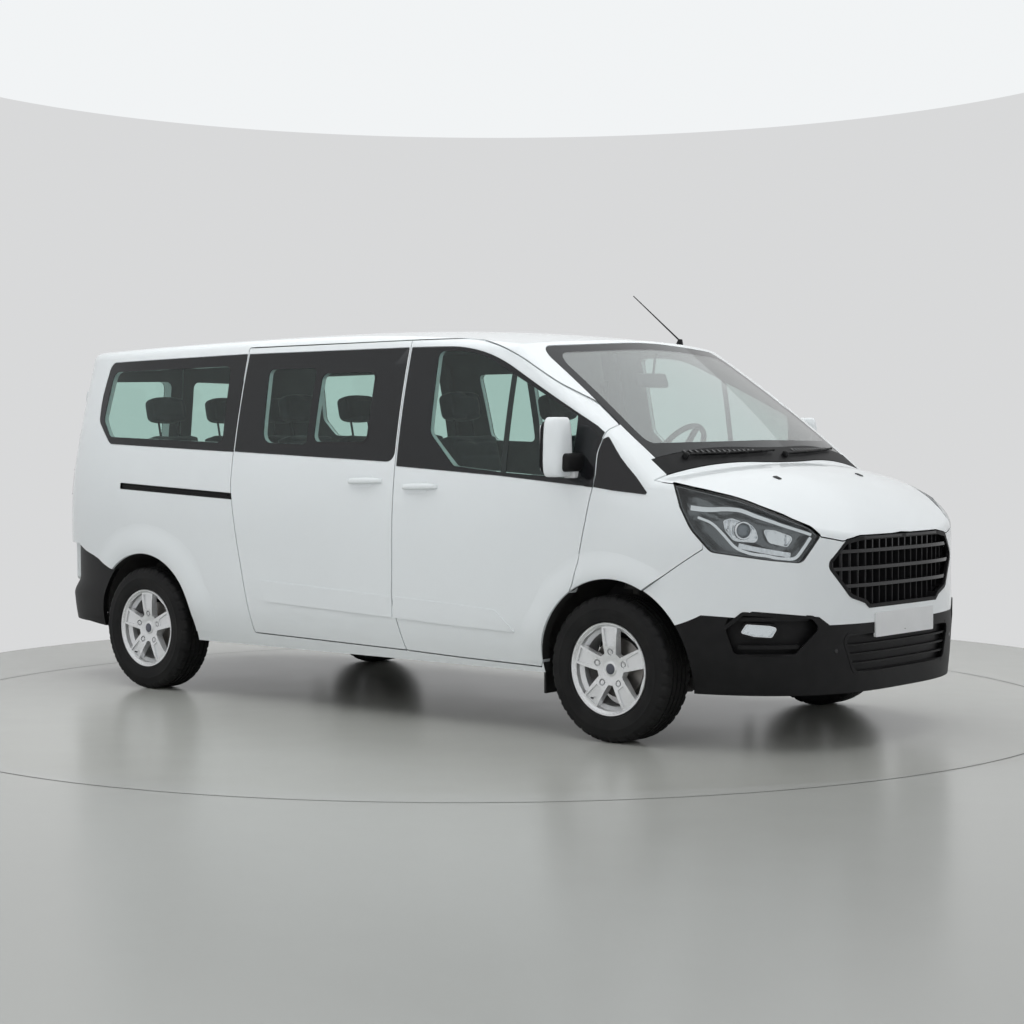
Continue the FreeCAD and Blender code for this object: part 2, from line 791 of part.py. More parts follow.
bumper_region = side_prism([(2179, 914), (1843, 695), (1703, 497), (1703, 258), (2800, 258), (2800, 1250),
                            (2179, 1250)], -FAR, FAR)
bumper_whole = nose_shell.common(bumper_region).cut(headlamp_tools + [arches, bonnet_tool])
black_tool = front_prism(BLACK_BUMPER, 1700, 2800)
upper = bumper_whole.cut([black_tool, grille_tool])
node("bumper_skin", feature("bumper_skin", main_solid(upper)))
lower_grille_tool = front_prism(LOWER_GRILLE, 2300, 2800)
lower = bumper_whole.common(black_tool)
lower = main_solid(lower.cut([lower_grille_tool, fog_tool, mirrored(fog_tool)]))


def nose_band(front, back, z_from, z_to, half_span):
    """An upright band that follows the nose in plan, between two depths behind its skin."""
    level = (z_from + z_to) / 2
    edges = []
    for inset in (front, back):
        fine = [plan_point(0.5 + step / 800, level, inset) for step in range(401)]
        line = [Vector(x, y, z_from) for x, y in fine if y < half_span]
        line = [Vector(point.x, -point.y, z_from) for point in line[:-1]] + line[::-1]
        line = line[::24] + [line[-1]] if len(line) % 24 != 1 else line[::24]
        curve = Part.BSplineCurve()
        curve.interpolate(line)
        edges.append((curve.toShape(), line[0], line[-1]))
    ends = [Part.makeLine(edges[0][index], edges[1][index]) for index in (1, 2)]
    outline = Part.Wire(Part.sortEdges([edges[0][0], ends[0], edges[1][0], ends[1]])[0])
    return Part.Face(outline).extrude(Vector(0, 0, z_to - z_from))


def fog_pod():
    """The recess round a fog lamp: a wall that runs in from the bumper's skin, and its floor."""
    pod = corner_prism(FOG_RECESS, s.pod_wall)
    behind_skin = wall_solid(lambda z: s.nose_wall - 4)
    pod = pod.common(behind_skin).cut(wall_solid(lambda z: s.pod_depth))
    in_black_skin = front_prism(BLACK_BUMPER, 1700, 2800, -s.seat_gap)
    behind_paint = wall_solid(lambda z: s.nose_wall + s.seat_gap, HOLLOW_HEIGHTS)
    pod = pod.common(in_black_skin).fuse(pod.common(behind_paint))
    inside = fog_tool.cut(wall_solid(lambda z: s.pod_depth - s.pod_wall, HOLLOW_HEIGHTS))
    return main_solid(pod.cut(inside))


def lower_bars():
    """Slim slats across the air intake and the plate behind them."""
    opening = front_prism(LOWER_GRILLE, 2300, 2800, 6)
    pieces = [nose_band(8, 31, z, z + 9, 540) for z in range(384, 500, int(s.slat_pitch))]
    pieces.append(nose_band(30, 34, 345, 526, 540))
    return [piece.common(opening) for piece in pieces]


pod = fog_pod()
node("bumper_lower", feature("bumper_lower", lower.fuse([pod, mirrored(pod)] + lower_bars())))


def grille():
    """Heavy bars over close upright ribs, in a frame that follows the nose."""
    window = front_prism(GRILLE, 2300, 2800, -12)
    deep = nose_band(2, 66, 620, 980, 640)
    frame = deep.common(front_prism(GRILLE, 2300, 2800, -s.seat_gap)).cut(window)
    pieces = []
    for step in range(3):
        z = 890 - step * s.grille_bar_pitch
        pieces.append(nose_band(4, 40, z, z + s.grille_bar_height, 640).common(front_prism(GRILLE, 2300, 2800, -6)))
    ribs = []
    count = int(540 / s.grille_rib_pitch)
    for step in range(-count, count + 1):
        y = step * s.grille_rib_pitch - s.grille_rib_width / 2
        ribs.append(Part.makeBox(600, s.grille_rib_width, 400, Vector(2300, y, 600)))
    net = nose_band(30, 60, 620, 980, 640).common(front_prism(GRILLE, 2300, 2800, -6))
    pieces.append(net.common(Part.makeCompound(ribs)))
    return main_solid(frame.fuse(pieces))


node("grille", feature("grille", grille()))

# Rear doors and their glass

door_depth_inner = body_form(lambda z: s.rear_door_depth, s.roof_wall, 40)
REAR_DOOR = [
    (-s.rear_door_half_width, s.rear_door_bottom_z, 30),
    (0, s.rear_door_bottom_z),
    (0, s.rear_door_top_z),
    (-s.rear_door_half_width + 105, s.rear_door_top_z, 70),
    (-s.rear_door_half_width - 10, 1000, 900),
]
REAR_GLASS = [(-640, 1790, 60), (-50, 1800, 30), (-50, 1290, 30), (-700, 1270, 60)]
REAR_CLEAR = [(-600, 1745, 50), (-90, 1755, 40), (-90, 1335, 40), (-650, 1325, 50)]
rear_door = outer.cut(door_depth_inner).common(front_prism(REAR_DOOR, *rear_zone, -half_gap))
rear_door = rear_door.cut(front_prism(REAR_CLEAR, *rear_zone))
rear_door = main_solid(rear_door.cut(front_prism(REAR_GLASS, *rear_zone).cut(glass_back)))
rear_pane = outer.common(front_prism(REAR_GLASS, *rear_zone, -s.glass_edge_gap)).cut(glass_face)
for label, side in SIDES.items():
    node(f"rear_door_{label}", feature(f"rear_door_{label}", on_side(rear_door, side)))
    node(f"rear_door_glass_{label}", feature(f"rear_door_glass_{label}", on_side(main_solid(rear_pane), side)))


# Rear corners: tail lamps and the wrap-round bumper

tail_lamp = cab_shell.common(side_prism(LAMP_SIDE, *lane, -s.glass_gap / 2))
tail_lamp = main_solid(tail_lamp.cut(front_prism(REAR_OPENING, s.tail_x - 200, s.tail_x + 260, half_gap)))
node("tail_lamps", feature("tail_lamps", both(tail_lamp)))

BUMPER_BACK = [
    (-1200, 300), (1200, 300), (1200, 900), (s.rear_door_half_width + 6, 900),
    (s.rear_door_half_width + 6, s.rear_door_bottom_z - 8), (-s.rear_door_half_width - 6, s.rear_door_bottom_z - 8),
    (-s.rear_door_half_width - 6, 900), (-1200, 900),
]
bumper_plan = {"tail_at": bumper_tail, "fullness": 5.0}
bumper_outer = wall_solid(lambda z: -1.5, BUMPER_HEIGHTS, **bumper_plan)
bumper_inner = wall_solid(lambda z: s.bumper_wall, BUMPER_HOLLOW_HEIGHTS, **bumper_plan)
bumper_zone = side_prism(BUMPER_SIDE, -FAR, FAR)
rear_bumper = hollowed(bumper_outer, bumper_inner).common(bumper_zone)
rear_bumper = rear_bumper.common(front_prism(BUMPER_BACK, s.tail_x - 200, -1400)).cut(arches)
node("rear_bumper", feature("rear_bumper", main_solid(rear_bumper)))


# Sketches whose corners are held by named sizes

def origin_part(body, role):
    return next(item for item in body.Origin.OriginFeatures if item.Role == role)


def profile(body, role, name, corners):
    """A closed profile on one of the body's own planes; each corner is a pair of expressions."""
    sketch = body.newObject("Sketcher::SketchObject", name)
    sketch.AttachmentSupport = [(origin_part(body, role), "")]
    sketch.MapMode = "FlatFace"
    places = [tuple(float(sheet.evalExpression(formula(str(text)))) for text in corner) for corner in corners]
    count = len(places)
    for index, (u, w) in enumerate(places):
        following = places[(index + 1) % count]
        sketch.addGeometry(Part.LineSegment(Vector(u, w, 0), Vector(*following, 0)), False)
    for index in range(count):
        sketch.addConstraint(Sketcher.Constraint("Coincident", index, 2, (index + 1) % count, 1))
    for index, corner in enumerate(corners):
        for kind, axis, text, value in zip(("DistanceX", "DistanceY"), (-2, -1), corner, places[index]):
            if abs(value) < 1e-6:
                sketch.addConstraint(Sketcher.Constraint("PointOnObject", index, 1, axis))
                continue
            held = sketch.addConstraint(Sketcher.Constraint(kind, -1, 1, index, 1, value))
            sketch.setExpression(f"Constraints[{held}]", formula(str(text)))
    return sketch


def revolve(body, name, corners):
    """A profile in (radius, distance along the axle), turned about the axle."""
    feature = body.newObject("PartDesign::Revolution", name)
    feature.Profile = profile(body, "XZ_Plane", name + "_profile", corners)
    feature.ReferenceAxis = (feature.Profile[0], ["V_Axis"])
    feature.Angle = 360
    return feature


def lift_sketch(sketch, height):
    """Moves a sketch off its plane by an expression."""
    sketch.setExpression("AttachmentOffset.Base.z", formula(height))
    return sketch


def nut_recess(body, name):
    """A round recess with a hexagonal nut left standing in it, at the root of the spoke that points up."""
    sketch = body.newObject("Sketcher::SketchObject", name)
    sketch.AttachmentSupport = [(origin_part(body, "XY_Plane"), "")]
    sketch.MapMode = "FlatFace"
    centre = Vector(0, -s.bolt_circle_radius, 0)
    ring = sketch.addGeometry(Part.Circle(centre, Vector(0, 0, 1), s.bolt_recess_radius), False)
    held = [sketch.addConstraint(Sketcher.Constraint("Radius", ring, s.bolt_recess_radius)),
            sketch.addConstraint(Sketcher.Constraint("DistanceY", ring, 3, -1, 1, s.bolt_circle_radius))]
    sketch.addConstraint(Sketcher.Constraint("PointOnObject", ring, 3, -2))
    for index, text in zip(held, ("bolt_recess_radius", "bolt_circle_radius")):
        sketch.setExpression(f"Constraints[{index}]", formula(text))
    corners = [centre + Vector(math.cos(math.radians(60 * k)), math.sin(math.radians(60 * k)), 0) * s.nut_radius
               for k in range(6)]
    first = ring + 1
    for index, corner in enumerate(corners):
        sketch.addGeometry(Part.LineSegment(corner, corners[(index + 1) % 6]), False)
    for index in range(6):
        sketch.addConstraint(Sketcher.Constraint("Coincident", first + index, 2, first + (index + 1) % 6, 1))
    for index in range(6):
        angle = f"{60 * index} deg"
        for kind, text in (("DistanceX", f"nut_radius * cos({angle})"),
                           ("DistanceY", f"nut_radius * sin({angle}) - bolt_circle_radius")):
            value = float(sheet.evalExpression(formula(text)))
            if abs(value) < 1e-6:
                sketch.addConstraint(Sketcher.Constraint("PointOnObject", first + index, 1, -2))
                continue
            index_held = sketch.addConstraint(Sketcher.Constraint(kind, -1, 1, first + index, 1, value))
            sketch.setExpression(f"Constraints[{index_held}]", formula(text))
    return sketch


def pocket_pattern(body, name, sketch, count, depth=None):
    """The sketch cut right through, or down to a depth, and repeated round the axle."""
    pocket = body.newObject("PartDesign::Pocket", name)
    pocket.Profile = sketch
    if depth is None:
        pocket.Type = 1
        pocket.SideType = "Symmetric"
    else:
        bind(pocket, Length=depth)
    pattern = body.newObject("PartDesign::PolarPattern", name + "_ring")
    pattern.Originals = [pocket]
    pattern.Axis = (origin_part(body, "Z_Axis"), [""])
    pattern.Angle = 360
    bind(pattern, Occurrences=count)
    body.Tip = pattern
    return pattern


WHEEL_TURN = {RIGHT: Rotation(Vector(0, 0, 1), 0), LEFT: Rotation(Vector(0, 0, 1), 180)}
WHEELS = {
    "front_right": ("front_axle_x", "front_track", RIGHT),
    "front_left": ("front_axle_x", "front_track", LEFT),
    "rear_right": ("rear_axle_x", "rear_track", RIGHT),
    "rear_left": ("rear_axle_x", "rear_track", LEFT),
}
AXLE_OUT = Rotation(Vector(1, 0, 0), 90)
SPOKE_UP = Rotation(Vector(0, 0, 1), 180)


def on_axle(body, axle, track, side):
    """Stands a wheel on its axle: its own Z points outwards."""
    sign = "-" if side == RIGHT else ""
    turn = WHEEL_TURN[side].multiply(AXLE_OUT).multiply(SPOKE_UP)
    return place(body, axle, f"{sign}{track} / 2", "tyre_radius", turn)


def rim(label, axle, track, side):
    body = document.addObject("PartDesign::Body", f"rim_{label}")
    revolve(body, f"spoke_dish_{label}", [
        ("stub_radius + seat_gap", "hub_face"), ("hub_radius", "hub_face"), ("hub_radius + 4", "hub_face + 14"),
        (150, "spoke_face - 30"), ("bead_radius - 6", "spoke_face - 26"), ("bead_radius - 6", "spoke_face + 4"),
        (165, "spoke_face + 6"), (110, "spoke_face + 2"), (62, "spoke_face - 6"), (40, "spoke_face - 10"),
        ("stub_radius + seat_gap", "spoke_face - 10"),
    ])
    turn = 180 / s.spoke_count
    inner_half = 76 * math.tan(math.radians(turn)) - s.spoke_hub_half / math.cos(math.radians(turn))
    outer_half = 195 * math.tan(math.radians(turn)) - s.spoke_rim_half / math.cos(math.radians(turn))
    slope = f"tan(180 deg / spoke_count)"
    lean = f"cos(180 deg / spoke_count)"
    window = profile(body, "XY_Plane", f"spoke_window_{label}", [
        (f"-(76 * {slope} - spoke_hub_half / {lean})", 76), (f"76 * {slope} - spoke_hub_half / {lean}", 76),
        (f"195 * {slope} - spoke_rim_half / {lean}", 195), (f"-(195 * {slope} - spoke_rim_half / {lean})", 195),
    ])
    pocket_pattern(body, f"window_{label}", window, "spoke_count")
    sunk = profile(body, "XY_Plane", f"spoke_face_{label}", [
        ("spoke_hub_half - 15", -106), ("15 - spoke_hub_half", -106), ("12 - spoke_rim_half", -188),
        ("spoke_rim_half - 12", -188),
    ])
    pocket_pattern(body, f"sunk_face_{label}", lift_sketch(sunk, "spoke_face + 20"), "spoke_count", 24)
    nut = nut_recess(body, f"nut_recess_{label}")
    pocket_pattern(body, f"nuts_{label}", lift_sketch(nut, "spoke_face + 20"), "spoke_count", 36)
    revolve(body, f"cap_{label}", [
        (0, "spoke_face - 18"), ("cap_radius", "spoke_face - 18"), ("cap_radius", "spoke_face - 8"),
        ("cap_radius - 5", "spoke_face - 4"), (0, "spoke_face - 2"),
    ])
    revolve(body, f"barrel_{label}", [
        ("rim_radius", "rim_half_width"), ("rim_radius", "rim_half_width - 7"), ("bead_radius", "rim_half_width - 13"),
        ("bead_radius - 2", 52), ("well_radius", 38), ("well_radius", -36), ("bead_radius - 2", -62),
        ("bead_radius", "13 - rim_half_width"), ("rim_radius", "7 - rim_half_width"), ("rim_radius", "-rim_half_width"),
        ("rim_radius - rim_wall", "-rim_half_width"), ("bead_radius - rim_wall", "20 - rim_half_width"),
        ("bead_radius - rim_wall - 2", -60), ("well_radius - rim_wall", -34), ("well_radius - rim_wall", 42),
        ("bead_radius - rim_wall - 2", 58), ("bead_radius - rim_wall", "rim_half_width - 12"),
        ("rim_radius - rim_wall", "rim_half_width"),
    ])
    revolve(body, f"brake_disc_{label}", [
        ("stub_radius + seat_gap", "hub_face"), ("hub_radius", "hub_face"), ("hub_radius", 8),
        ("disc_radius", 8), ("disc_radius", "8 - disc_thickness"), ("hub_radius - 8", "8 - disc_thickness"),
        ("hub_radius - 8", 4), ("stub_radius + seat_gap", 4),
    ])
    return on_axle(body, axle, track, side)


def tyre(label, axle, track, side):
    body = document.addObject("PartDesign::Body", f"tyre_{label}")
    half = [
        ("bead_radius + seat_gap", "rim_half_width - 13.5"), ("rim_radius + seat_gap", "rim_half_width - 7.3"),
        ("rim_radius + 4", "rim_half_width + 3"), ("rim_radius + 24", "tyre_half_width - 4"),
        ("rim_radius + 62", "tyre_half_width"), ("tyre_radius - 42", "tyre_half_width - 2"),
        ("tyre_radius - 18", "tyre_half_width - 10"), ("tyre_radius - 4", "tread_half_width"),
        ("tyre_radius", "tread_half_width - 18"),
    ]
    groove = ["tread_half_width * 0.52", "tread_half_width * 0.42", "tread_half_width * 0.08"]
    tread = [
        ("tyre_radius", groove[0]), ("tyre_radius - 7", groove[0]), ("tyre_radius - 7", groove[1]),
        ("tyre_radius", groove[1]), ("tyre_radius", groove[2]), ("tyre_radius - 7", groove[2]),
    ]
    corners = half + tread
    corners += [(radius, f"-({along})") for radius, along in reversed(corners)]
    revolve(body, f"carcass_{label}", corners)
    return on_axle(body, axle, track, side)


for label, (axle, track, side) in WHEELS.items():
    node(f"rim_{label}", rim(label, axle, track, side))
    node(f"tyre_{label}", tyre(label, axle, track, side))


# Front knuckles, with the strut and spring that turn with them, and the brake calipers

def caliper(name, axle_x, track, side):
    """A block that reaches round the disc's rear edge, and the bracket that holds it."""
    reach_in = s.disc_thickness + 24
    ring = Part.makeCylinder(s.caliper_radius, 70, Vector(0, 0, -reach_in))
    ring = ring.cut(Part.makeCylinder(84, 80, Vector(0, 0, -reach_in - 5)))
    slot_depth = s.disc_thickness + 2 * s.disc_gap
    slot = Part.makeCylinder(s.disc_radius + s.disc_gap, slot_depth, Vector(0, 0, 8 + s.disc_gap - slot_depth))
    block = ring.cut(slot).common(Part.makeBox(200, 120, 170, Vector(-200, -60, -85)))
    ear = Part.makeBox(150, 60, 22, Vector(-128, -30, -reach_in - 21))
    turn = AXLE_OUT if side == RIGHT else WHEEL_TURN[side].multiply(AXLE_OUT).multiply(SPOKE_UP)
    shape = block.fuse(ear)
    shape.Placement = Placement(Vector(axle_x, side * track / 2, s.tyre_radius), turn)
    return feature(name, shape)


for label, side in SIDES.items():
    sign = "-" if side == RIGHT else ""
    pin_y = f"{sign}(front_track / 2 - kingpin_inset)"
    hub_y = f"{sign}(front_track / 2 - kingpin_inset + 20)"
    out = ALONG_Y if side == LEFT else ACROSS
    pieces = [
        cylinder(f"hub_{label}", "hub_radius - 14", "kingpin_inset - disc_thickness - 20", "front_axle_x", hub_y,
                 "tyre_radius", out),
        cylinder(f"stub_{label}", "stub_radius", "kingpin_inset + 20", "front_axle_x", hub_y, "tyre_radius", out),
        cylinder(f"upright_{label}", "strut_radius + 6", "tyre_radius - 130", "front_axle_x", pin_y, 232.3),
        cylinder(f"strut_{label}", "strut_radius", "spring_foot_z - 420", "front_axle_x", pin_y, 430),
        cylinder(f"spring_seat_{label}", "spring_radius + 6", 10, "front_axle_x", pin_y, "spring_foot_z"),
        cylinder(f"spring_{label}", "spring_radius", "spring_top_z - spring_foot_z - 10", "front_axle_x", pin_y,
                 "spring_foot_z + 10"),
        cylinder(f"strut_mount_{label}", 40, "tower_top_z - tub_wall - seat_gap - spring_top_z", "front_axle_x",
                 pin_y, "spring_top_z"),
        cylinder(f"ball_joint_{label}", 15, 30, "front_axle_x", pin_y, 206),
        box(f"knuckle_web_{label}", 90, 34, 200, "front_axle_x - 45", f"{pin_y} - 17", 262),
        caliper(f"front_caliper_{label}", s.front_axle_x, s.front_track, side),
    ]
    node(f"knuckle_{label}", fuse(f"knuckle_{label}", pieces))

# Front crossmember with the lower arms and the steering rack

arm_z = 206


def lower_arm(side):
    pin = (s.front_axle_x, side * kingpin_y)
    corners = [
        (pin[0] + 30, pin[1] + side * 28, 24), (pin[0] + 150, side * 470, 20), (pin[0] - 190, side * 470, 20),
        (pin[0] - 30, pin[1] + side * 28, 24),
    ]
    arm = plan_prism(corners, arm_z, arm_z + 26)
    hole = Part.makeCylinder(15 + s.seat_gap, 60, Vector(pin[0], pin[1], arm_z - 10))
    return arm.cut(hole)


crossmember = plan_prism([
    (s.front_axle_x - 230, -500, 40), (s.front_axle_x + 170, -500, 40), (s.front_axle_x + 170, 500, 40),
    (s.front_axle_x - 230, 500, 40),
], arm_z + 6, arm_z + 70)
crossmember = crossmember.cut(plan_prism([
    (s.front_axle_x - 120, -300, 40), (s.front_axle_x + 90, -300, 40), (s.front_axle_x + 90, 300, 40),
    (s.front_axle_x - 120, 300, 40),
], arm_z - 10, arm_z + 90))
rack = Part.makeCylinder(30, 900, Vector(s.front_axle_x - 170, -450, arm_z + 86), Vector(0, 1, 0))
towers = []
for side in (LEFT, RIGHT):
    towers.append(Part.makeBox(80, 80, s.rail_z - arm_z - 60, Vector(s.front_axle_x - 40,
                                                                   side * s.rail_y - 40, arm_z + 60)))
crossmember = crossmember.fuse([lower_arm(LEFT), lower_arm(RIGHT), rack] + towers)
node("front_crossmember", feature("front_crossmember", crossmember))

# Rear axle: twist beam, trailing arms, stubs, springs and dampers

rear_pieces = [cylinder("twist_beam", "axle_beam_radius", 1160, "rear_axle_x + 260", -580, 300, ALONG_Y)]
for label, side in SIDES.items():
    sign = "-" if side == RIGHT else ""
    out = ALONG_Y if side == LEFT else ACROSS
    rear_pieces += [
        box(f"trailing_arm_{label}", 700, 64, 80, "rear_axle_x - 60", f"{sign}600 - 32", 270),
        cylinder(f"rear_stub_{label}", "stub_radius", "rear_track / 2 - 560", "rear_axle_x", f"{sign}600",
                 "tyre_radius", out),
        cylinder(f"rear_hub_{label}", "hub_radius - 14", "rear_track / 2 - 624 - disc_thickness", "rear_axle_x",
                 f"{sign}600", "tyre_radius", out),
        cylinder(f"arm_bush_{label}", 44, 84, "rear_axle_x + 640", f"{sign}600 - 42", 310, ALONG_Y),
        cylinder(f"rear_spring_{label}", "spring_radius", "floor_z - floor_thickness - 350 - seat_gap",
                 "rear_axle_x + 170", f"{sign}570", 350),
        cylinder(f"damper_{label}", 24, "floor_z - floor_thickness - 346 - seat_gap", "rear_axle_x - 30",
                 f"{sign}560", 346),
        box(f"spring_pan_{label}", 320, 110, 12, "rear_axle_x - 60", f"{sign}575 - 55", 338),
        box(f"arm_bracket_{label}", 90, 14, "floor_z - floor_thickness - seat_gap - 334", "rear_axle_x + 595",
            f"{sign}553 - 7", 334),
        caliper(f"rear_caliper_{label}", s.rear_axle_x, s.rear_track, side),
    ]
node("rear_axle", fuse("rear_axle", rear_pieces))

# Floor: slab, chassis rails and sills

slab_bottom = s.floor_z - s.floor_thickness
floor_end = s.tail_x + 62
door_clear_y = 915.0
tub_edge_y = 880.0
shelf_z = 946.0


def pair(length, width, height, x, y, z):
    """Two boxes, mirror images of each other; y is the middle of the left one."""
    return [Part.makeBox(length, width, height, Vector(x, side * y - width / 2, z)) for side in (LEFT, RIGHT)]


wide_from = s.sliding_door_rear_x - 12
floor_pieces = [
    Part.makeBox(wide_from - floor_end, 2000, s.floor_thickness, Vector(floor_end, -1000, slab_bottom)),
    Part.makeBox(s.firewall_x - wide_from, 2 * door_clear_y, s.floor_thickness,
                 Vector(wide_from, -door_clear_y, slab_bottom)),
]
floor_pieces += pair(2572 - floor_end, s.rail_width, slab_bottom - s.rail_z, floor_end, s.rail_y, s.rail_z)
floor_pieces += pair(72, s.rail_width, 60, 2500, s.rail_y, slab_bottom - 10)
floor_pieces += pair(2360, 110, slab_bottom - s.sill_z, -1150, 815, s.sill_z + 6)
floor_pieces += pair(2360, 60, 14, -1150, 890, s.sill_z + 6)
cabin_limit = wall_solid(lambda z: s.door_wall + s.seat_gap)
floor_body = floor_pieces[0].fuse(floor_pieces[1:]).common(cabin_limit)
beam = nose_band(s.nose_wall + 1, 64, 528, 564, 540)
rear_rails = pair(260, s.rail_width, 110, s.tail_x - 100, s.rail_y, s.rail_z)
bumper_fit = wall_solid(lambda z: s.bumper_wall + s.seat_gap, BUMPER_HOLLOW_HEIGHTS, **bumper_plan)
rear_rails = [rail.common(bumper_fit) for rail in rear_rails]
tow_beam = Part.makeBox(80, 2 * s.rail_y, 100, Vector(s.tail_x + 34, -s.rail_y, s.rail_z + 10))
tow_holes = [Part.makeCylinder(s.tow_bolt_radius, 100, Vector(s.tail_x + 24, side * s.tow_bolt_y, z), Vector(1, 0, 0))
             for side in (LEFT, RIGHT) for z in (s.rail_z + 35, s.rail_z + 85)]
rear_rails.append(tow_beam.cut(tow_holes))


def tub_cylinder(x, radius, inner, outer, side):
    return Part.makeCylinder(radius, outer - inner, Vector(x, side * inner, s.tyre_radius), Vector(0, side, 0))


def wheel_tub(x, radius, inner, outer, side):
    """A half-round cover over a wheel, closed on its inner side, with the space under it and round it."""
    whole = tub_cylinder(x, radius + s.tub_wall, inner - s.tub_wall, outer, side)
    space = tub_cylinder(x, radius, inner, 1020, side)
    above = Part.makeBox(1200, 2400, 700, Vector(x - 600, -1200, s.tyre_radius + 60))
    room = tub_cylinder(x, radius + s.tub_wall + s.seat_gap, inner - s.tub_wall - s.seat_gap, 1020, side)
    return whole.cut(space).common(above).common(cabin_limit), space, room


front_tubs = []
rear_tubs = []
spaces = []
rooms = []
for side in (LEFT, RIGHT):
    tub, space, room = wheel_tub(s.front_axle_x + 12, s.front_tub_radius, s.tub_inner_y, tub_edge_y, side)
    rear_tub, rear_space, rear_room = wheel_tub(s.rear_axle_x, s.rear_tub_radius, s.rear_tub_inner_y, 1000, side)
    foot = Vector(s.front_axle_x, side * kingpin_y, 0)
    tower = Part.makeCylinder(s.tower_radius + s.tub_wall, s.tower_top_z - 740, foot + Vector(0, 0, 740))
    front_tubs += [tub, tower]
    rear_tubs.append(rear_tub)
    spaces += [space, Part.makeCylinder(s.tower_radius, s.tower_top_z - s.tub_wall - 700, foot + Vector(0, 0, 700))]
    rooms += [room, rear_room]

floor_body = floor_body.fuse([beam] + rear_rails).cut(rooms)
node("floor", feature("floor", main_solid(floor_body)))

# Inner panels: the bulkhead with the front wheel tubs and strut towers, the rear wheel tubs, the door posts

bulkhead = [
    Part.makeBox(s.firewall_wall, 2 * tub_edge_y, shelf_z - slab_bottom, Vector(s.firewall_x, -tub_edge_y, slab_bottom)),
    Part.makeBox(392, 2 * tub_edge_y, 16, Vector(s.firewall_x, -tub_edge_y, shelf_z - 16)),
    Part.makeBox(14, 2 * tub_edge_y, 194, Vector(s.firewall_x + 378, -tub_edge_y, shelf_z)),
]
front_panels = main_solid(bulkhead[0].fuse(bulkhead[1:] + front_tubs).cut(spaces))
post_outer = wall_solid(lambda z: cab_inset(z) + 8)
post_inner = wall_solid(lambda z: cab_inset(z) + 44)
post_top_z = 1880.0
post_foot = s.floor_z + s.seat_gap
posts = [post.common(post_outer).cut(post_inner)
         for post in pair(92, 600, post_top_z - post_foot, s.b_pillar_x - 46, 900, post_foot)]
node("inner_panels", feature("inner_panels", Part.makeCompound([front_panels] + rear_tubs + posts)))

# Engine with its radiator, fuel tank and exhaust

between_rails = s.rail_y - s.rail_width / 2 - s.seat_gap
engine_sizes = "2 * (rail_y - rail_width / 2 - seat_gap)"
engine_side = "-(rail_y - rail_width / 2 - seat_gap)"
node("engine", box("engine_block", 500, engine_sizes, 530, 1900, engine_side, "rail_z - 20"))
node("radiator", box("radiator_core", 60, engine_sizes, 540, 2440, engine_side, "rail_z + 20"))
tank = plan_prism([(-1000, -130, 60), (-80, -130, 60), (-80, between_rails, 60), (-1000, between_rails, 60)],
                  300, slab_bottom - s.seat_gap)
tank_edges = [edge for edge in tank.Edges if edge.BoundBox.ZMax < 301]
node("fuel_tank", feature("fuel_tank", tank.makeFillet(30, tank_edges)))


def pipe_route(corners, bend):
    """Straight runs through the corners, joined by arcs of one bend radius."""
    points = [Vector(*corner) for corner in corners]
    edges = []
    start = points[0]
    for before, here, after in zip(points, points[1:], points[2:]):
        into = (before - here).normalize()
        away = (after - here).normalize()
        half = into.getAngle(away) / 2
        reach = bend / math.tan(half)
        first = here + into * reach
        last = here + away * reach
        middle = here + (into + away).normalize() * (bend / math.sin(half) - bend)
        edges.append(Part.makeLine(start, first))
        edges.append(Part.Arc(first, middle, last).toShape())
        start = last
    edges.append(Part.makeLine(start, points[-1]))
    return Part.Wire(edges)


pipe_start = Vector(1900 - s.seat_gap, -180, 420)
route = pipe_route([
    tuple(pipe_start), (1560, -180, 420), (1200, -250, 300), (-1120, -250, 300), (-1300, -250, 405),
    (-1860, -240, 405), (-2000, -240, 380), (-2380, -240, 380), (-2600, -300, 300),
], 90)
section = Part.Wire(Part.makeCircle(26, pipe_start, route.Edges[0].tangentAt(0)))
pipe = Part.Wire(route).makePipeShell([section], True, False)
silencer = Part.makeCylinder(85, 400, Vector(-2400, -240, 380), Vector(1, 0, 0))
hanger_top = slab_bottom - s.seat_gap
hangers = [Part.makeBox(20, 40, hanger_top - 440, Vector(x, -260, 440)) for x in (-2360, -2060)]
hangers.append(Part.makeBox(20, 40, hanger_top - 310, Vector(560, -270, 310)))
node("exhaust", feature("exhaust", pipe.fuse([silencer] + hangers)))

# Dashboard and steering wheel

DASH = [
    (s.firewall_x - s.seat_gap, 620, 20), (s.firewall_x - s.seat_gap, shelf_z + s.seat_gap),
    (s.firewall_x + 378 - s.seat_gap, shelf_z + s.seat_gap), (s.firewall_x + 378 - s.seat_gap, 1205, 40),
    (1740, 1240, 90), (1330, 1268, 80), (1215, 1190, 60), (1240, 930, 60), (1330, 760, 60), (1380, 620, 20),
]
dash_half = 872.0
dash = side_prism(DASH, -dash_half, dash_half)
dash = dash.cut(Part.makeCompound(front_tubs))
node("dashboard", feature("dashboard", main_solid(dash)))
wheel_centre = Vector(1071, s.front_seat_y, 1324)
column_turn = Rotation(Vector(0, 1, 0), -55)
steering = Part.makeTorus(s.steering_radius, 15).fuse([
    Part.makeCylinder(52, 40, Vector(0, 0, -46)), Part.makeCylinder(22, 260, Vector(0, 0, -280)),
    Part.makeBox(2 * s.steering_radius, 44, 12, Vector(-s.steering_radius, -22, -24)),
    Part.makeBox(44, s.steering_radius, 12, Vector(-22, -s.steering_radius, -24)),
])
steering.Placement = Placement(wheel_centre, column_turn)
steering = steering.cut(side_prism(DASH, -dash_half, dash_half, s.seat_gap))
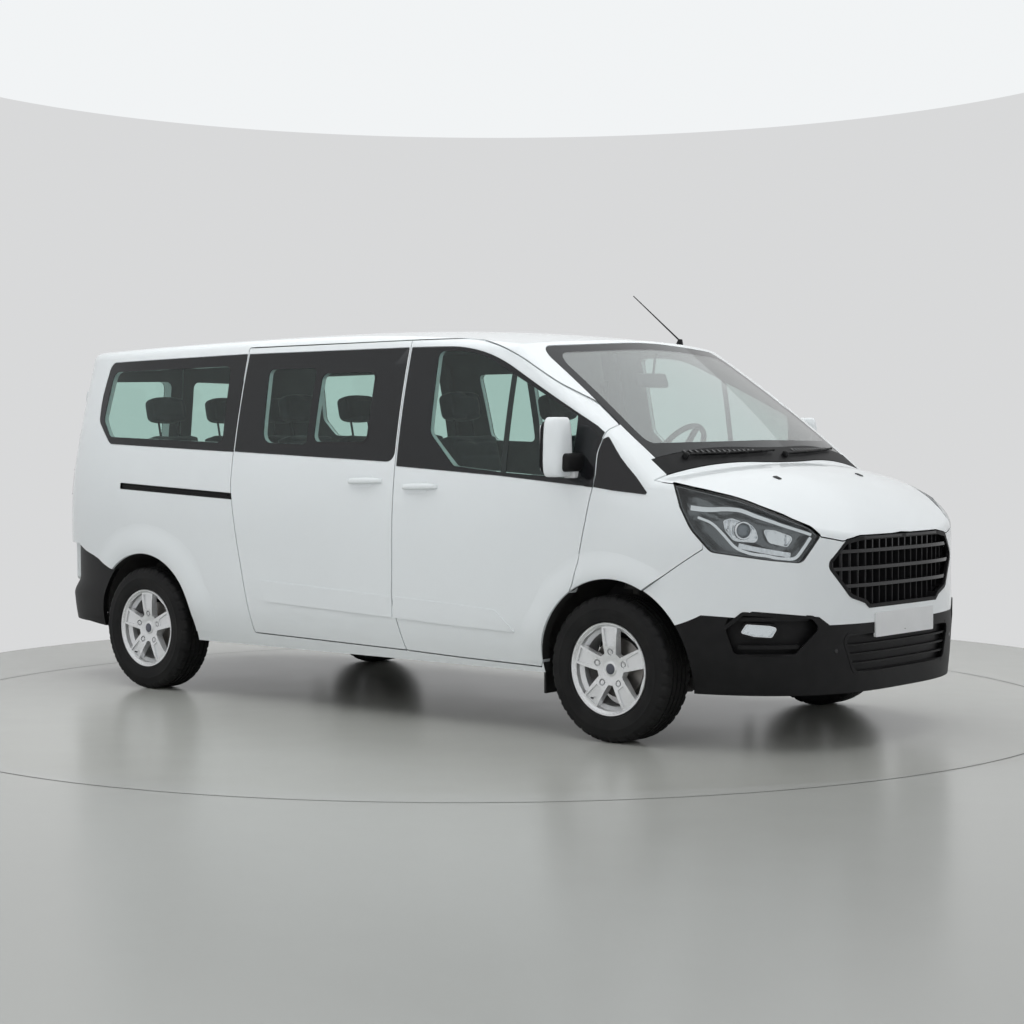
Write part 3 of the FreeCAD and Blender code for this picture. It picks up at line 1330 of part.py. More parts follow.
node("steering_wheel", feature("steering_wheel", main_solid(steering)))


# Seats

BACK_LEAN = 12


def seat_pieces(name, x, y, width, base_width):
    """A seat on its pedestal: cushion, leaning back, headrest on its posts."""
    x = f"({x})"
    y = f"({y})"
    width = f"({width})"
    pieces = [
        box(f"{name}_pedestal", "cushion_length - 120", base_width, "cushion_z - floor_z - seat_gap",
            f"{x} - cushion_length / 2 + 60", f"{y} - {base_width} / 2", "floor_z + seat_gap"),
        box(f"{name}_cushion", "cushion_length", width, "cushion_height", f"{x} - cushion_length / 2",
            f"{y} - {width} / 2", "cushion_z"),
    ]
    turn = Rotation(Vector(0, 1, 0), -BACK_LEAN)
    back = box(f"{name}_back", "backrest_thickness", width, "backrest_height", 0, 0, 0)
    place(back, f"{x} - cushion_length / 2 - 40", f"{y} - {width} / 2", "cushion_z + 20", turn)
    top = "(cushion_z + 20 + backrest_height * cos(12 deg))"
    top_x = f"({x} - cushion_length / 2 - 40 - backrest_height * sin(12 deg))"
    rest = box(f"{name}_headrest", 90, 270, "headrest_height", 0, 0, 0)
    place(rest, f"{top_x} + 8", f"{y} - 135", f"{top} + headrest_gap", turn)
    pieces += [back, rest]
    for index, offset in enumerate((-70, 70)):
        post = cylinder(f"{name}_post_{index}", 7, "headrest_gap + 60", 0, 0, 0)
        place(post, f"{top_x} + 55", f"{y} + {offset}", f"{top} - 40", turn)
        pieces.append(post)
    return pieces


front_pieces = []
for label, side in SIDES.items():
    front_pieces += seat_pieces(f"seat_{label}", "front_seat_x", f"{side} * front_seat_y", "seat_width", 360)
node("front_seats", fuse("front_seats", front_pieces))
rear_seat_pieces = []
for label, x in (("two", "row_two_x"), ("three", "row_three_x")):
    for index in (-1, 0, 1):
        rear_seat_pieces += seat_pieces(f"row_{label}_{index + 1}", x, f"{index} * bench_pitch",
                                        "bench_pitch - 20", 300)
node("rear_seats", fuse("rear_seats", rear_seat_pieces))


# Mirrors

def mirror(side):
    """A tall rounded head on an arm that stands on the door's front corner."""
    head = front_prism([(-92, -140, 50), (92, -140, 40), (92, 140, 60), (-92, 140, 70)], -52, 52)
    face_edges = [edge for edge in head.Edges if edge.BoundBox.XMin > 51]
    head = head.makeFillet(38, face_edges)
    head.Placement = Placement(Vector(1432, -1046, 1372), Rotation(Vector(0, 0, 1), 8))
    arm = side_prism([(1396, 1262, 14), (1486, 1262, 14), (1504, 1330, 14), (1396, 1330, 14)], -1000, -880)
    return main_solid(on_side(head.fuse(arm).cut(mirror_limit), side))


mirror_limit = wall_solid(lambda z: -s.seat_gap)
for label, side in SIDES.items():
    node(f"mirror_{label}", feature(f"mirror_{label}", mirror(side)))

# Mud flaps and aerial

flaps = []
for flap in pair(12, 220, 197.7, -2080, 850, 205):
    flaps.append(main_solid(flap.common(bumper_fit)))
flaps += pair(12, 84, 150, 1210 + s.seat_gap, 840, 190)
node("mud_flaps", feature("mud_flaps", Part.makeCompound(flaps)))

roof_normal = Vector(0.113, 0.064, 1)
aerial_foot = Vector(1040, 450, roof_height(1040, 450) + s.seat_gap)
aerial_rake = Vector(-309, 0, 250)
mast = Part.makeCone(4.5, 2.5, aerial_rake.Length, aerial_foot + roof_normal * 20, aerial_rake)
aerial = mast.fuse(Part.makeCone(20, 11, 30, aerial_foot, roof_normal))
node("aerial", feature("aerial", aerial))


def check_and_write():
    document.recompute()
    for item in document.Objects:
        if "Invalid" in item.State or "Error" in item.State:
            raise RuntimeError(f"{item.Label} failed: {item.State}")
    os.makedirs("parts", exist_ok=True)
    for label, item in nodes.items():
        shape = item.Shape
        if shape.isNull() or not shape.isValid():
            raise RuntimeError(f"{label} has no valid shape")
        shape.exportStep(f"parts/{label}.step")


check_and_write()
for label, item in nodes.items():
    bounds = item.Shape.BoundBox
    print(label, len(item.Shape.Solids), round(item.Shape.Volume / 1e6, 2),
          [round(v) for v in (bounds.XMin, bounds.XMax, bounds.YMin, bounds.YMax, bounds.ZMin, bounds.ZMax)])
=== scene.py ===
import json
import math

import bmesh
import bpy
from mathutils import Matrix, Vector


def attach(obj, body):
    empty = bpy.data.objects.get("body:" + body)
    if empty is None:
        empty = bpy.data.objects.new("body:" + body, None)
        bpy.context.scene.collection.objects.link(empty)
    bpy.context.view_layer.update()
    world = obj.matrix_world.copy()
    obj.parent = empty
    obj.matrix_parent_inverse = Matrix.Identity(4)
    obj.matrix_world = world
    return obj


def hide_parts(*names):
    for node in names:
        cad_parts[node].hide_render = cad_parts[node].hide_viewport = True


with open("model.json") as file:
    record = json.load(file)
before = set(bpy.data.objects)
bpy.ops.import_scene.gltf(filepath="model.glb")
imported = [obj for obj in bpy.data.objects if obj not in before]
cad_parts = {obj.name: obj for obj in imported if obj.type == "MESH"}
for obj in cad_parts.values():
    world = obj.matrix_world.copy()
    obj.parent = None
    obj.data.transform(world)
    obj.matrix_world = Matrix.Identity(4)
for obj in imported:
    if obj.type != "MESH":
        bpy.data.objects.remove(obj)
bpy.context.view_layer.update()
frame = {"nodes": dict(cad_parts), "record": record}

nodes = frame["nodes"]
scene = bpy.context.scene

# Sizes shared with the solids, in metres
FRONT_AXLE_X = 1.660
REAR_AXLE_X = -1.640
TYRE_RADIUS = 0.343
TRACK_Y = {"front": 0.868, "rear": 0.878}
SIDES = {"right": -1, "left": 1}


# Camera at the photograph's view

CAMERA_PLACE = Vector((7.6836, -8.6362, 1.4566))
CAMERA_YAW = 40.7122
CAMERA_PITCH = -2.2493
CAMERA_ROLL = -0.2268
CAMERA_LENS = 74.33


def add_camera():
    data = bpy.data.cameras.new("camera")
    data.lens = CAMERA_LENS
    data.sensor_width = 36.0
    data.sensor_fit = "HORIZONTAL"
    data.clip_end = 200.0
    camera = bpy.data.objects.new("camera", data)
    scene.collection.objects.link(camera)
    yaw, pitch, roll = (math.radians(value) for value in (CAMERA_YAW, CAMERA_PITCH, CAMERA_ROLL))
    ahead = Vector((-math.sin(yaw) * math.cos(pitch), math.cos(yaw) * math.cos(pitch), math.sin(pitch)))
    right = Vector((math.cos(yaw), math.sin(yaw), 0.0))
    up = right.cross(ahead)
    rolled_right = right * math.cos(roll) + up * math.sin(roll)
    rolled_up = up * math.cos(roll) - right * math.sin(roll)
    turn = Matrix((rolled_right, rolled_up, -ahead)).transposed().to_4x4()
    camera.matrix_world = Matrix.Translation(CAMERA_PLACE) @ turn
    scene.camera = camera


add_camera()
bpy.context.scene.camera = scene.camera


# Materials

def new_material(name, colour, roughness, metallic=0.0, **inputs):
    material = bpy.data.materials.new(name)
    material.use_nodes = True
    shader = material.node_tree.nodes["Principled BSDF"]
    shader.inputs["Base Color"].default_value = (*colour, 1.0)
    shader.inputs["Roughness"].default_value = roughness
    shader.inputs["Metallic"].default_value = metallic
    for key, value in inputs.items():
        shader.inputs[key.replace("_", " ")].default_value = value
    return material


def add_node(material, kind, links=(), **settings):
    """A node with its settings; links are (input name, source node, source output name)."""
    item = material.node_tree.nodes.new(kind)
    for key, value in settings.items():
        if key in item.inputs and not hasattr(item, key):
            item.inputs[key].default_value = value
        elif hasattr(item, key):
            setattr(item, key, value)
        else:
            item.inputs[key.replace("_", " ")].default_value = value
    for target, source, output in links:
        material.node_tree.links.new(source.outputs[output], item.inputs[target])
    return item


def textured(name, colour, roughness, scale, depth, second=None, spread=0.12, metallic=0.0, distance=0.0005,
             **inputs):
    """A material whose colour, roughness and bump vary with noise in the object's own space."""
    material = new_material(name, colour, roughness, metallic, **inputs)
    tree = material.node_tree
    shader = tree.nodes["Principled BSDF"]
    place = add_node(material, "ShaderNodeTexCoord")
    fine = add_node(material, "ShaderNodeTexNoise", [("Vector", place, "Object")], Scale=scale, Detail=3.0)
    broad = add_node(material, "ShaderNodeTexNoise", [("Vector", place, "Object")], Scale=scale / 60, Detail=4.0)
    ramp = add_node(material, "ShaderNodeValToRGB", [("Fac", broad, "Fac")])
    other = second or tuple(min(channel * 1.18, 1.0) for channel in colour)
    for stop, position, shade in zip(ramp.color_ramp.elements, (0.35, 0.65), (colour, other)):
        stop.position = position
        stop.color = (*shade, 1.0)
    tree.links.new(ramp.outputs["Color"], shader.inputs["Base Color"])
    levels = add_node(material, "ShaderNodeMapRange", [("Value", fine, "Fac")], To_Min=max(roughness - spread, 0.02),
                      To_Max=min(roughness + spread, 1.0))
    tree.links.new(levels.outputs["Result"], shader.inputs["Roughness"])
    bump = add_node(material, "ShaderNodeBump", [("Height", fine, "Fac")], Strength=depth, Distance=distance)
    tree.links.new(bump.outputs["Normal"], shader.inputs["Normal"])
    return material


def bare_material(name):
    """A material with nothing but its output."""
    material = bpy.data.materials.new(name)
    material.use_nodes = True
    material.node_tree.nodes.clear()
    material.node_tree.nodes.new("ShaderNodeOutputMaterial")
    return material


def show_mix(material, share, first, second):
    """The surface is the second shader by a share (node, output name) and the first for the rest."""
    tree = material.node_tree
    output = next(item for item in tree.nodes if item.type == "OUTPUT_MATERIAL")
    mix = add_node(material, "ShaderNodeMixShader", [("Fac", *share)])
    tree.links.new(first, mix.inputs[1])
    tree.links.new(second, mix.inputs[2])
    tree.links.new(mix.outputs["Shader"], output.inputs["Surface"])


def clear_glass(name, tint, least=0.035):
    """Thin tinted glass: it lets light straight through and mirrors the room at a glancing angle."""
    material = bare_material(name)
    through = add_node(material, "ShaderNodeBsdfTransparent", Color=(*tint, 1.0))
    mirror = add_node(material, "ShaderNodeBsdfGlossy", Roughness=0.0)
    edge = add_node(material, "ShaderNodeLayerWeight", Blend=0.5)
    steep = add_node(material, "ShaderNodeMath", [(0, edge, "Facing")], operation="POWER")
    steep.inputs[1].default_value = 5.0
    share = add_node(material, "ShaderNodeMath", [(0, steep, "Value")], operation="MULTIPLY_ADD")
    share.inputs[1].default_value = 0.90
    share.inputs[2].default_value = least
    show_mix(material, (share, "Value"), through.outputs["BSDF"], mirror.outputs["BSDF"])
    return material


paint = textured("white_paint", (0.755, 0.790, 0.805), 0.30, 60.0, 0.02, second=(0.775, 0.810, 0.825), spread=0.05,
                 Coat_Weight=0.8, Coat_Roughness=0.04, Specular_IOR_Level=0.5)
dark_plastic = textured("dark_plastic", (0.0045, 0.0045, 0.0050), 0.52, 900.0, 0.35, second=(0.007, 0.007, 0.0075),
                        distance=0.0004, Specular_IOR_Level=0.25)
gloss_black = textured("gloss_black", (0.006, 0.006, 0.007), 0.12, 200.0, 0.03, spread=0.05)
window_glass = clear_glass("window_glass", (0.842, 0.93, 0.905))
screen_glass = clear_glass("screen_glass", (0.88, 0.935, 0.925), least=0.30)
lamp_glass = clear_glass("lamp_glass", (0.95, 0.965, 0.97))
red_lens = textured("red_lens", (0.28, 0.008, 0.008), 0.10, 300.0, 0.05, second=(0.36, 0.012, 0.012), spread=0.04,
                    Coat_Weight=1.0)
alloy = textured("silver_alloy", (0.74, 0.75, 0.76), 0.28, 500.0, 0.06, second=(0.78, 0.79, 0.80), metallic=0.55,
                 Coat_Weight=0.5, Coat_Roughness=0.06)
tyre_rubber = textured("tyre_rubber", (0.006, 0.006, 0.0065), 0.66, 700.0, 0.35, second=(0.010, 0.010, 0.010),
                         distance=0.0006, Specular_IOR_Level=0.3)
cast_metal = textured("cast_metal", (0.045, 0.045, 0.046), 0.60, 300.0, 0.4, second=(0.07, 0.068, 0.065),
                      metallic=0.3)
underseal = textured("underseal", (0.030, 0.030, 0.031), 0.80, 250.0, 0.5, second=(0.045, 0.044, 0.042))
engine_metal = textured("engine_metal", (0.16, 0.16, 0.165), 0.50, 200.0, 0.4, metallic=0.6)
tank_plastic = textured("tank_plastic", (0.015, 0.015, 0.015), 0.65, 400.0, 0.3)
exhaust_steel = textured("exhaust_steel", (0.30, 0.28, 0.26), 0.42, 300.0, 0.2, second=(0.22, 0.18, 0.15),
                         metallic=0.9)
interior_plastic = textured("interior_plastic", (0.030, 0.031, 0.034), 0.62, 800.0, 0.3)
seat_fabric = textured("seat_fabric", (0.030, 0.031, 0.036), 0.92, 1400.0, 0.7, second=(0.042, 0.043, 0.05),
                       Sheen_Weight=0.4)
flap_rubber = textured("flap_rubber", (0.014, 0.014, 0.014), 0.75, 300.0, 0.3)
glass_border = textured("glass_border", (0.008, 0.009, 0.010), 0.06, 150.0, 0.02, spread=0.03, Coat_Weight=0.15,
                        Specular_IOR_Level=0.35)
trim_grey = textured("trim_grey", (0.13, 0.13, 0.135), 0.75, 700.0, 0.3, second=(0.15, 0.15, 0.155))
headliner = textured("headliner", (0.33, 0.325, 0.31), 0.92, 1200.0, 0.5, second=(0.36, 0.355, 0.34))
arch_black = textured("arch_black", (0.012, 0.012, 0.012), 0.80, 260.0, 0.5, second=(0.02, 0.02, 0.019))
mirror_silver = new_material("mirror_silver", (0.85, 0.87, 0.88), 0.02, 1.0)
lamp_chrome = textured("lamp_chrome", (0.80, 0.81, 0.82), 0.10, 400.0, 0.03, second=(0.86, 0.87, 0.88), spread=0.04,
                       metallic=1.0)
lamp_grey = textured("lamp_grey", (0.15, 0.16, 0.165), 0.22, 300.0, 0.01, second=(0.18, 0.19, 0.195), spread=0.02,
                     metallic=0.85)
net_black = textured("net_black", (0.004, 0.004, 0.005), 0.70, 900.0, 0.3, second=(0.006, 0.006, 0.007))
lamp_led = textured("lamp_led", (0.75, 0.76, 0.78), 0.25, 300.0, 0.1, second=(0.85, 0.86, 0.88))
lamp_projector = textured("lamp_projector", (0.10, 0.115, 0.13), 0.03, 100.0, 0.01, second=(0.16, 0.18, 0.20),
                          spread=0.02, Coat_Weight=1.0)
clear_lens = textured("clear_lens", (0.62, 0.63, 0.64), 0.12, 300.0, 0.15, second=(0.70, 0.71, 0.72), spread=0.05,
                      Coat_Weight=1.0)
plate_white = textured("plate_white", (0.74, 0.75, 0.76), 0.35, 500.0, 0.05, second=(0.77, 0.78, 0.79), spread=0.05)
alloy_bright = textured("alloy_bright", (0.70, 0.71, 0.72), 0.18, 500.0, 0.04, second=(0.76, 0.77, 0.78),
                        metallic=0.9)
cap_dark = textured("cap_dark", (0.030, 0.035, 0.055), 0.25, 300.0, 0.05, second=(0.045, 0.05, 0.075), spread=0.08,
                    Coat_Weight=0.8)
disc_steel = textured("disc_steel", (0.32, 0.31, 0.30), 0.38, 260.0, 0.2, second=(0.24, 0.22, 0.20), metallic=0.9)
belt_webbing = textured("belt_webbing", (0.022, 0.022, 0.024), 0.80, 1500.0, 0.5, second=(0.032, 0.032, 0.034))

SLOT_MATERIALS = {
    "body_paint": paint, "tinted_glass": window_glass, "dark_plastic": dark_plastic, "gloss_black": gloss_black,
    "clear_lamp": lamp_glass, "red_lamp": red_lens, "alloy": alloy, "tyre": tyre_rubber, "cast_metal": cast_metal,
    "underbody": underseal, "engine_metal": engine_metal, "tank_plastic": tank_plastic,
    "exhaust_steel": exhaust_steel, "interior_plastic": interior_plastic, "seat_fabric": seat_fabric,
    "flap_rubber": flap_rubber,
}
node_slots = {part["node"]: part["material_slot"] for part in frame["record"]["subparts"]}


def give(item, material):
    item.data.materials.clear()
    item.data.materials.append(material)


for name, item in nodes.items():
    give(item, SLOT_MATERIALS[node_slots[name]])
    item.data.polygons.foreach_set("use_smooth", [True] * len(item.data.polygons))
    item.data.set_sharp_from_angle(angle=math.radians(28))
give(nodes["windscreen"], screen_glass)


# The body's form, in millimetres as the solids have it

NOSE_X = 2665.0
TAIL_X = -2575.0
HALF_WIDTH = 985.0
ROOF_Z = 1988.0
COWL_X = 2020.0
COWL_Z = 1285.0
HEADER_X = 1120.0
HEADER_Z = 1903.0
TAIL_START_X = -700.0
CORNER_TANGENT = Vector((0.766, 0.643, 0.0))
CORNER_OUT = Vector((0.643, -0.766, 0.0))
MM = 0.001


def ease(low, high, value):
    share = min(max((value - low) / (high - low), 0.0), 1.0)
    return share * share * (3 - 2 * share)


def side_width(z):
    above = max(z - 1000.0, 0.0) / (ROOF_Z - 1000.0)
    below = max(560.0 - z, 0.0) / 260.0
    return HALF_WIDTH - 179.2 * above ** 1.6 - 45.0 * below ** 2


def wall_y(x, z):
    """Half the body's width at a place along it and a height; 0 beyond its ends."""
    if x < TAIL_START_X:
        tail = TAIL_X + 75.0 * ease(1000, 1950, z)
        along = (TAIL_START_X - x) / (TAIL_START_X - tail)
        return side_width(z) * max(1 - along ** 6.8, 0.0) ** (1 / 6.8)
    start = 1700.0 - 900.0 * ease(1000, 1450, z)
    if x <= start:
        return side_width(z)
    nose = NOSE_X - 10 * ease(600, 950, z)
    return side_width(z) * max(1 - ((x - start) / (nose - start)) ** 2.6, 0.0) ** (1 / 3)


def meet_wall(base, inward, reach=3500.0):
    """Where a ray from outside meets the body's wall."""
    near, far = 0.0, reach
    for _ in range(30):
        middle = (near + far) / 2
        spot = base + inward * middle
        if abs(spot.y) < wall_y(spot.x, spot.z):
            far = middle
        else:
            near = middle
    return base + inward * far


def roof_height(x, y):
    if x > -300:
        drop = (ROOF_Z - HEADER_Z) * ((x + 300) / (HEADER_X + 300)) ** 2
    else:
        drop = 45.0 * ((x + 300) / 2200) ** 2
    return ROOF_Z - drop - 40 * (y / 750) ** 2


def bonnet_height(x, y):
    share = (x - 2000) / 600
    return COWL_Z + 5 - 283 * (0.375 * share + 0.625 * share ** 2) - 80 * (y / 900) ** 2


def screen_x(y, z):
    share = (z - COWL_Z) / (HEADER_Z - COWL_Z)
    return COWL_X - (COWL_X - HEADER_X) * share - 140 * (y / 750) ** 2 + 100 * share * (1 - share)


# Each lays a flat drawing (u, w) on one side of the body
DRAWN_ON = {
    "side": lambda u, w: meet_wall(Vector((u, -1500, w)), Vector((0, 1, 0)), 1500),
    "corner": lambda u, w: meet_wall(CORNER_TANGENT * u + CORNER_OUT * 2600 + Vector((0, 0, w)), -CORNER_OUT, 1700),
    "nose": lambda u, w: meet_wall(Vector((3000, u, w)), Vector((-1, 0, 0)), 1500),
    "tail": lambda u, w: meet_wall(Vector((-3000, u, w)), Vector((1, 0, 0)), 1500),
    "screen": lambda u, w: Vector((screen_x(u, w), u, w)),
    "bonnet": lambda u, w: Vector((u, w, bonnet_height(u, w))),
    "roof": lambda u, w: Vector((u, w, roof_height(u, w))),
}
OUTWARDS = {
    "side": Vector((0, -1, 0)), "corner": CORNER_OUT, "nose": Vector((1, 0, 0)), "tail": Vector((-1, 0, 0)),
    "screen": Vector((0.6, 0, 0.8)), "bonnet": Vector((0, 0, 1)), "roof": Vector((0, 0, 1)),
}


def laid_on(kind, left=False):
    """A function (u, w, lift) that gives a place in metres, lifted off the body along its normal."""
    drawn = DRAWN_ON[kind]

    def place(u, w, lift):
        spot = drawn(u, w)
        normal = (drawn(u + 2, w) - spot).cross(drawn(u, w + 2) - spot).normalized()
        if normal.dot(OUTWARDS[kind]) < 0:
            normal.negate()
        spot = (spot + normal * lift) * MM
        return Vector((spot.x, -spot.y, spot.z)) if left else spot

    return place


# Shapes drawn flat and laid on the body

ARC_STEP = 0.16


def rounded(corners, grow=0.0):
    """The outline through corners (u, w) or (u, w, radius), as closely spaced points."""
    points = [Vector(corner[:2]) for corner in corners]
    outline = []
    for index, here in enumerate(points):
        before = points[index - 1] - here
        after = points[(index + 1) % len(points)] - here
        room = 0.49 * min(before.length, after.length)
        before.normalize()
        after.normalize()
        half = before.angle(after) / 2
        wanted = corners[index][2] if len(corners[index]) > 2 else 0.0
        reach = min(wanted / math.tan(half), room)
        if reach < 0.5:
            outline.append(here)
            continue
        radius = reach * math.tan(half)
        centre = here + (before + after).normalized() * (radius / math.sin(half))
        first = here + before * reach - centre
        last = here + after * reach - centre
        sweep = first.angle_signed(last)
        count = max(2, math.ceil(abs(sweep) / ARC_STEP))
        for k in range(count + 1):
            turned = first.copy()
            turned.rotate(Matrix.Rotation(-sweep * k / count, 2))
            outline.append(centre + turned)
    if grow:
        outline = grown(outline, grow)
    return outline


def area_of(outline):
    return sum(a.x * b.y - b.x * a.y for a, b in zip(outline, outline[1:] + outline[:1])) / 2


def grown(outline, grow):
    """The outline moved outwards by a distance, or inwards where that is negative."""
    turn = 1 if area_of(outline) > 0 else -1
    moved = []
    for index, here in enumerate(outline):
        before = (here - outline[index - 1]).normalized()
        after = (outline[(index + 1) % len(outline)] - here).normalized()
        out = Vector((before.y + after.y, -before.x - after.x)) * turn
        out.normalize()
        moved.append(here + out * grow / max(out.dot(Vector((before.y, -before.x)) * turn), 0.5))
    return moved


def circle(steps):
    return [2 * math.pi * k / steps for k in range(steps)]


def mesh_of(bm, name):
    bm.normal_update()
    mesh = bpy.data.meshes.new(name)
    bm.to_mesh(mesh)
    bm.free()
    return mesh


def add_object(mesh, name, material, body, slot, sharp):
    """An object that rides on a body, smooth except over edges sharper than an angle in degrees."""
    item = bpy.data.objects.new(name, mesh)
    scene.collection.objects.link(item)
    mesh.name = name
    give(item, material)
    mesh.polygons.foreach_set("material_index", [0] * len(mesh.polygons))
    mesh.polygons.foreach_set("use_smooth", [True] * len(mesh.polygons))
    mesh.set_sharp_from_angle(angle=math.radians(sharp))
    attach(item, body)
    return item


def piece(name, material, body, slot, *steps, sharp=35):
    """One object of all the shapes that the steps add to it."""
    bm = bmesh.new()
    for step in steps:
        step(bm)
    return add_object(mesh_of(bm, name), name, material, body, slot, sharp)


def as_step(add):
    """Lets a function (bm, ...) be called without bm: it then gives a step for piece()."""
    return lambda *values, **options: lambda bm: add(bm, *values, **options)


def skin(bm, rings, closed=False):
    """Joins rings of places, each with the next, and caps open ends. A ring of one place is a tip."""
    rows = [[bm.verts.new(spot) for spot in ring] for ring in rings]
    faces = []
    for low, high in zip(rows, rows[1:] + rows[:1] if closed else rows[1:]):
        for k in range(max(len(low), len(high))):
            corners = (low[k % len(low)], low[(k + 1) % len(low)], high[(k + 1) % len(high)], high[k % len(high)])
            faces.append(bm.faces.new(list(dict.fromkeys(corners))))
    if not closed:
        faces += [bm.faces.new(row) for row in (rows[0][::-1], rows[-1]) if len(row) > 2]
    bmesh.ops.recalc_face_normals(bm, faces=faces)


shell = as_step(skin)


@as_step
def laid(bm, corners, place, height, depth, bevel=0.0, drop=None, cell=60.0, rise=None):
    """A pad whose outline is laid on the body, from a lift of -depth up to height.

    Its upper edge is rounded: over the width bevel it rises by drop."""
    drop = min(bevel, height + depth) if drop is None else drop
    outline = corners if isinstance(corners[0], Vector) else rounded(corners)
    if area_of(outline) < 0:
        outline = outline[::-1]
    flat = bmesh.new()
    first = height - (drop if bevel else 0.0)
    face = flat.faces.new([flat.verts.new((point.x, point.y, first)) for point in outline])
    face.normal_update()
    if bevel:
        for out_from, out_to in ((0.0, 0.15), (0.15, 0.45), (0.45, 1.0)):
            lifts = [drop * math.sqrt(1 - (1 - out) ** 2) for out in (out_from, out_to)]
            bmesh.ops.inset_region(flat, faces=[face], thickness=bevel * (out_to - out_from),
                                   depth=lifts[1] - lifts[0], use_even_offset=True)
    edge = [e for e in flat.edges if e.is_boundary]
    for item in bmesh.ops.extrude_edge_only(flat, edges=edge)["geom"]:
        if isinstance(item, bmesh.types.BMVert):
            item.co.z = -depth
    bmesh.ops.contextual_create(flat, geom=[e for e in flat.edges if e.is_boundary])
    bmesh.ops.triangulate(flat, faces=flat.faces[:], ngon_method="EAR_CLIP")
    low = [min(vert.co[axis] for vert in flat.verts) for axis in (0, 1)]
    high = [max(vert.co[axis] for vert in flat.verts) for axis in (0, 1)]
    for axis in (0, 1):
        count = int((high[axis] - low[axis]) / cell)
        for k in range(1, count + 1):
            middle, normal = Vector(), Vector()
            middle[axis] = low[axis] + (high[axis] - low[axis]) * k / (count + 1)
            normal[axis] = 1
            bmesh.ops.bisect_plane(flat, geom=flat.verts[:] + flat.edges[:] + flat.faces[:], plane_co=middle,
                                   plane_no=normal)
    made = {}
    for vert in flat.verts:
        lift = vert.co.z
        if rise and lift > first - 0.01:
            lift += rise(vert.co.x, vert.co.y)
        made[vert] = bm.verts.new(place(vert.co.x, vert.co.y, lift))
    new_faces = [bm.faces.new([made[vert] for vert in face.verts]) for face in flat.faces]
    flat.free()
    bmesh.ops.recalc_face_normals(bm, faces=new_faces)


def oblong(u_low, u_high, w_low, w_high, radius=0.0):
    return [(u_low, w_low, radius), (u_low, w_high, radius), (u_high, w_high, radius), (u_high, w_low, radius)]


def band(points, width_first, width_last):
    """The outline of a strip along a smooth (Catmull-Rom) line through points, from one width to another."""
    points = [Vector(point) for point in points]
    ends = [points[0] * 2 - points[1]] + points + [points[-1] * 2 - points[-2]]
    line = []
    for a, b, c, d in zip(ends, ends[1:], ends[2:], ends[3:]):
        for t in (k / 6 for k in range(6)):
            line.append(0.5 * ((2 * b) + (c - a) * t + (2 * a - 5 * b + 4 * c - d) * t * t
                               + (3 * b - a - 3 * c + d) * t ** 3))
    line.append(points[-1])
    count = len(line)
    sides = ([], [])
    for index, here in enumerate(line):
        along = (line[min(index + 1, count - 1)] - line[max(index - 1, 0)]).normalized()
        half = (width_first + (width_last - width_first) * index / (count - 1)) / 2
        across = Vector((-along.y, along.x)) * half
        sides[0].append(here + across)
        sides[1].append(here - across)
    return sides[0] + sides[1][::-1]


@as_step
def tube(bm, points, radius, sides=10):
    """A round bar along a line of places in metres; its radius may be a function of the share of the way."""
    rings = []
    count = len(points)
    for index, here in enumerate(points):
        along = (points[min(index + 1, count - 1)] - points[max(index - 1, 0)]).normalized()
        across = along.cross(Vector((0, 0, 1)))
        if across.length < 0.05:
            across = along.cross(Vector((1, 0, 0)))
        across.normalize()
        lifted = across.cross(along)
        size = radius(index / (count - 1)) if callable(radius) else radius
        rings.append([here + (across * math.cos(a) + lifted * math.sin(a)) * size for a in circle(sides)])
    skin(bm, rings)


@as_step
def turned(bm, profile, matrix, steps=48, closed=False):
    """A solid of revolution: profile points (radius, along) round the matrix's Z axis, in metres."""
    skin(bm, [[matrix @ Vector((radius * math.cos(a), radius * math.sin(a), along))
               for a in (circle(steps) if radius > 1e-6 else (0.0,))] for radius, along in profile], closed)


@as_step
def block(bm, size, matrix, bevel, segments=2):
    """A box about the matrix's origin with softened edges."""
    part = bmesh.new()
    bmesh.ops.create_cube(part, size=1.0)
    bmesh.ops.scale(part, vec=size, verts=part.verts)
    bmesh.ops.bevel(part, geom=part.edges[:], offset=bevel, segments=segments, affect="EDGES", profile=0.5)
    made = {vert: bm.verts.new(matrix @ vert.co) for vert in part.verts}
    faces = [bm.faces.new([made[vert] for vert in face.verts]) for face in part.faces]
    part.free()
    bmesh.ops.recalc_face_normals(bm, faces=faces)


@as_step
def ring_wall(bm, outline, place, high, low, wall):
    """An upright wall that follows an outline, between two lifts; wall is its thickness, inwards."""
    inner = grown(outline, -wall)
    skin(bm, [[place(p.x, p.y, lift) for p in line]
              for line, lift in ((outline, high), (inner, high), (inner, low), (outline, low))], closed=True)


def at(x, y, z, tilt=0.0):
    """A place in metres, tilted about the Y axis by degrees."""
    return Matrix.Translation((x, y, z)) @ Matrix.Rotation(math.radians(tilt), 4, "Y")


def facing_out(place, u, w, lift=0.0, ahead=10.0):
    """A matrix at a place on the body whose Z points out of it."""
    spot = place(u, w, lift)
    out = (place(u, w, ahead) - spot).normalized()
    return Matrix.Translation(spot) @ out.to_track_quat("Z", "Y").to_matrix().to_4x4()


def both_sides(build, kind="side"):
    for side, left in (("right", False), ("left", True)):
        build(side, laid_on(kind, left), left)


# Outlines on the body, as the solids have them: side ones are (x, z), front and rear ones (y, z)

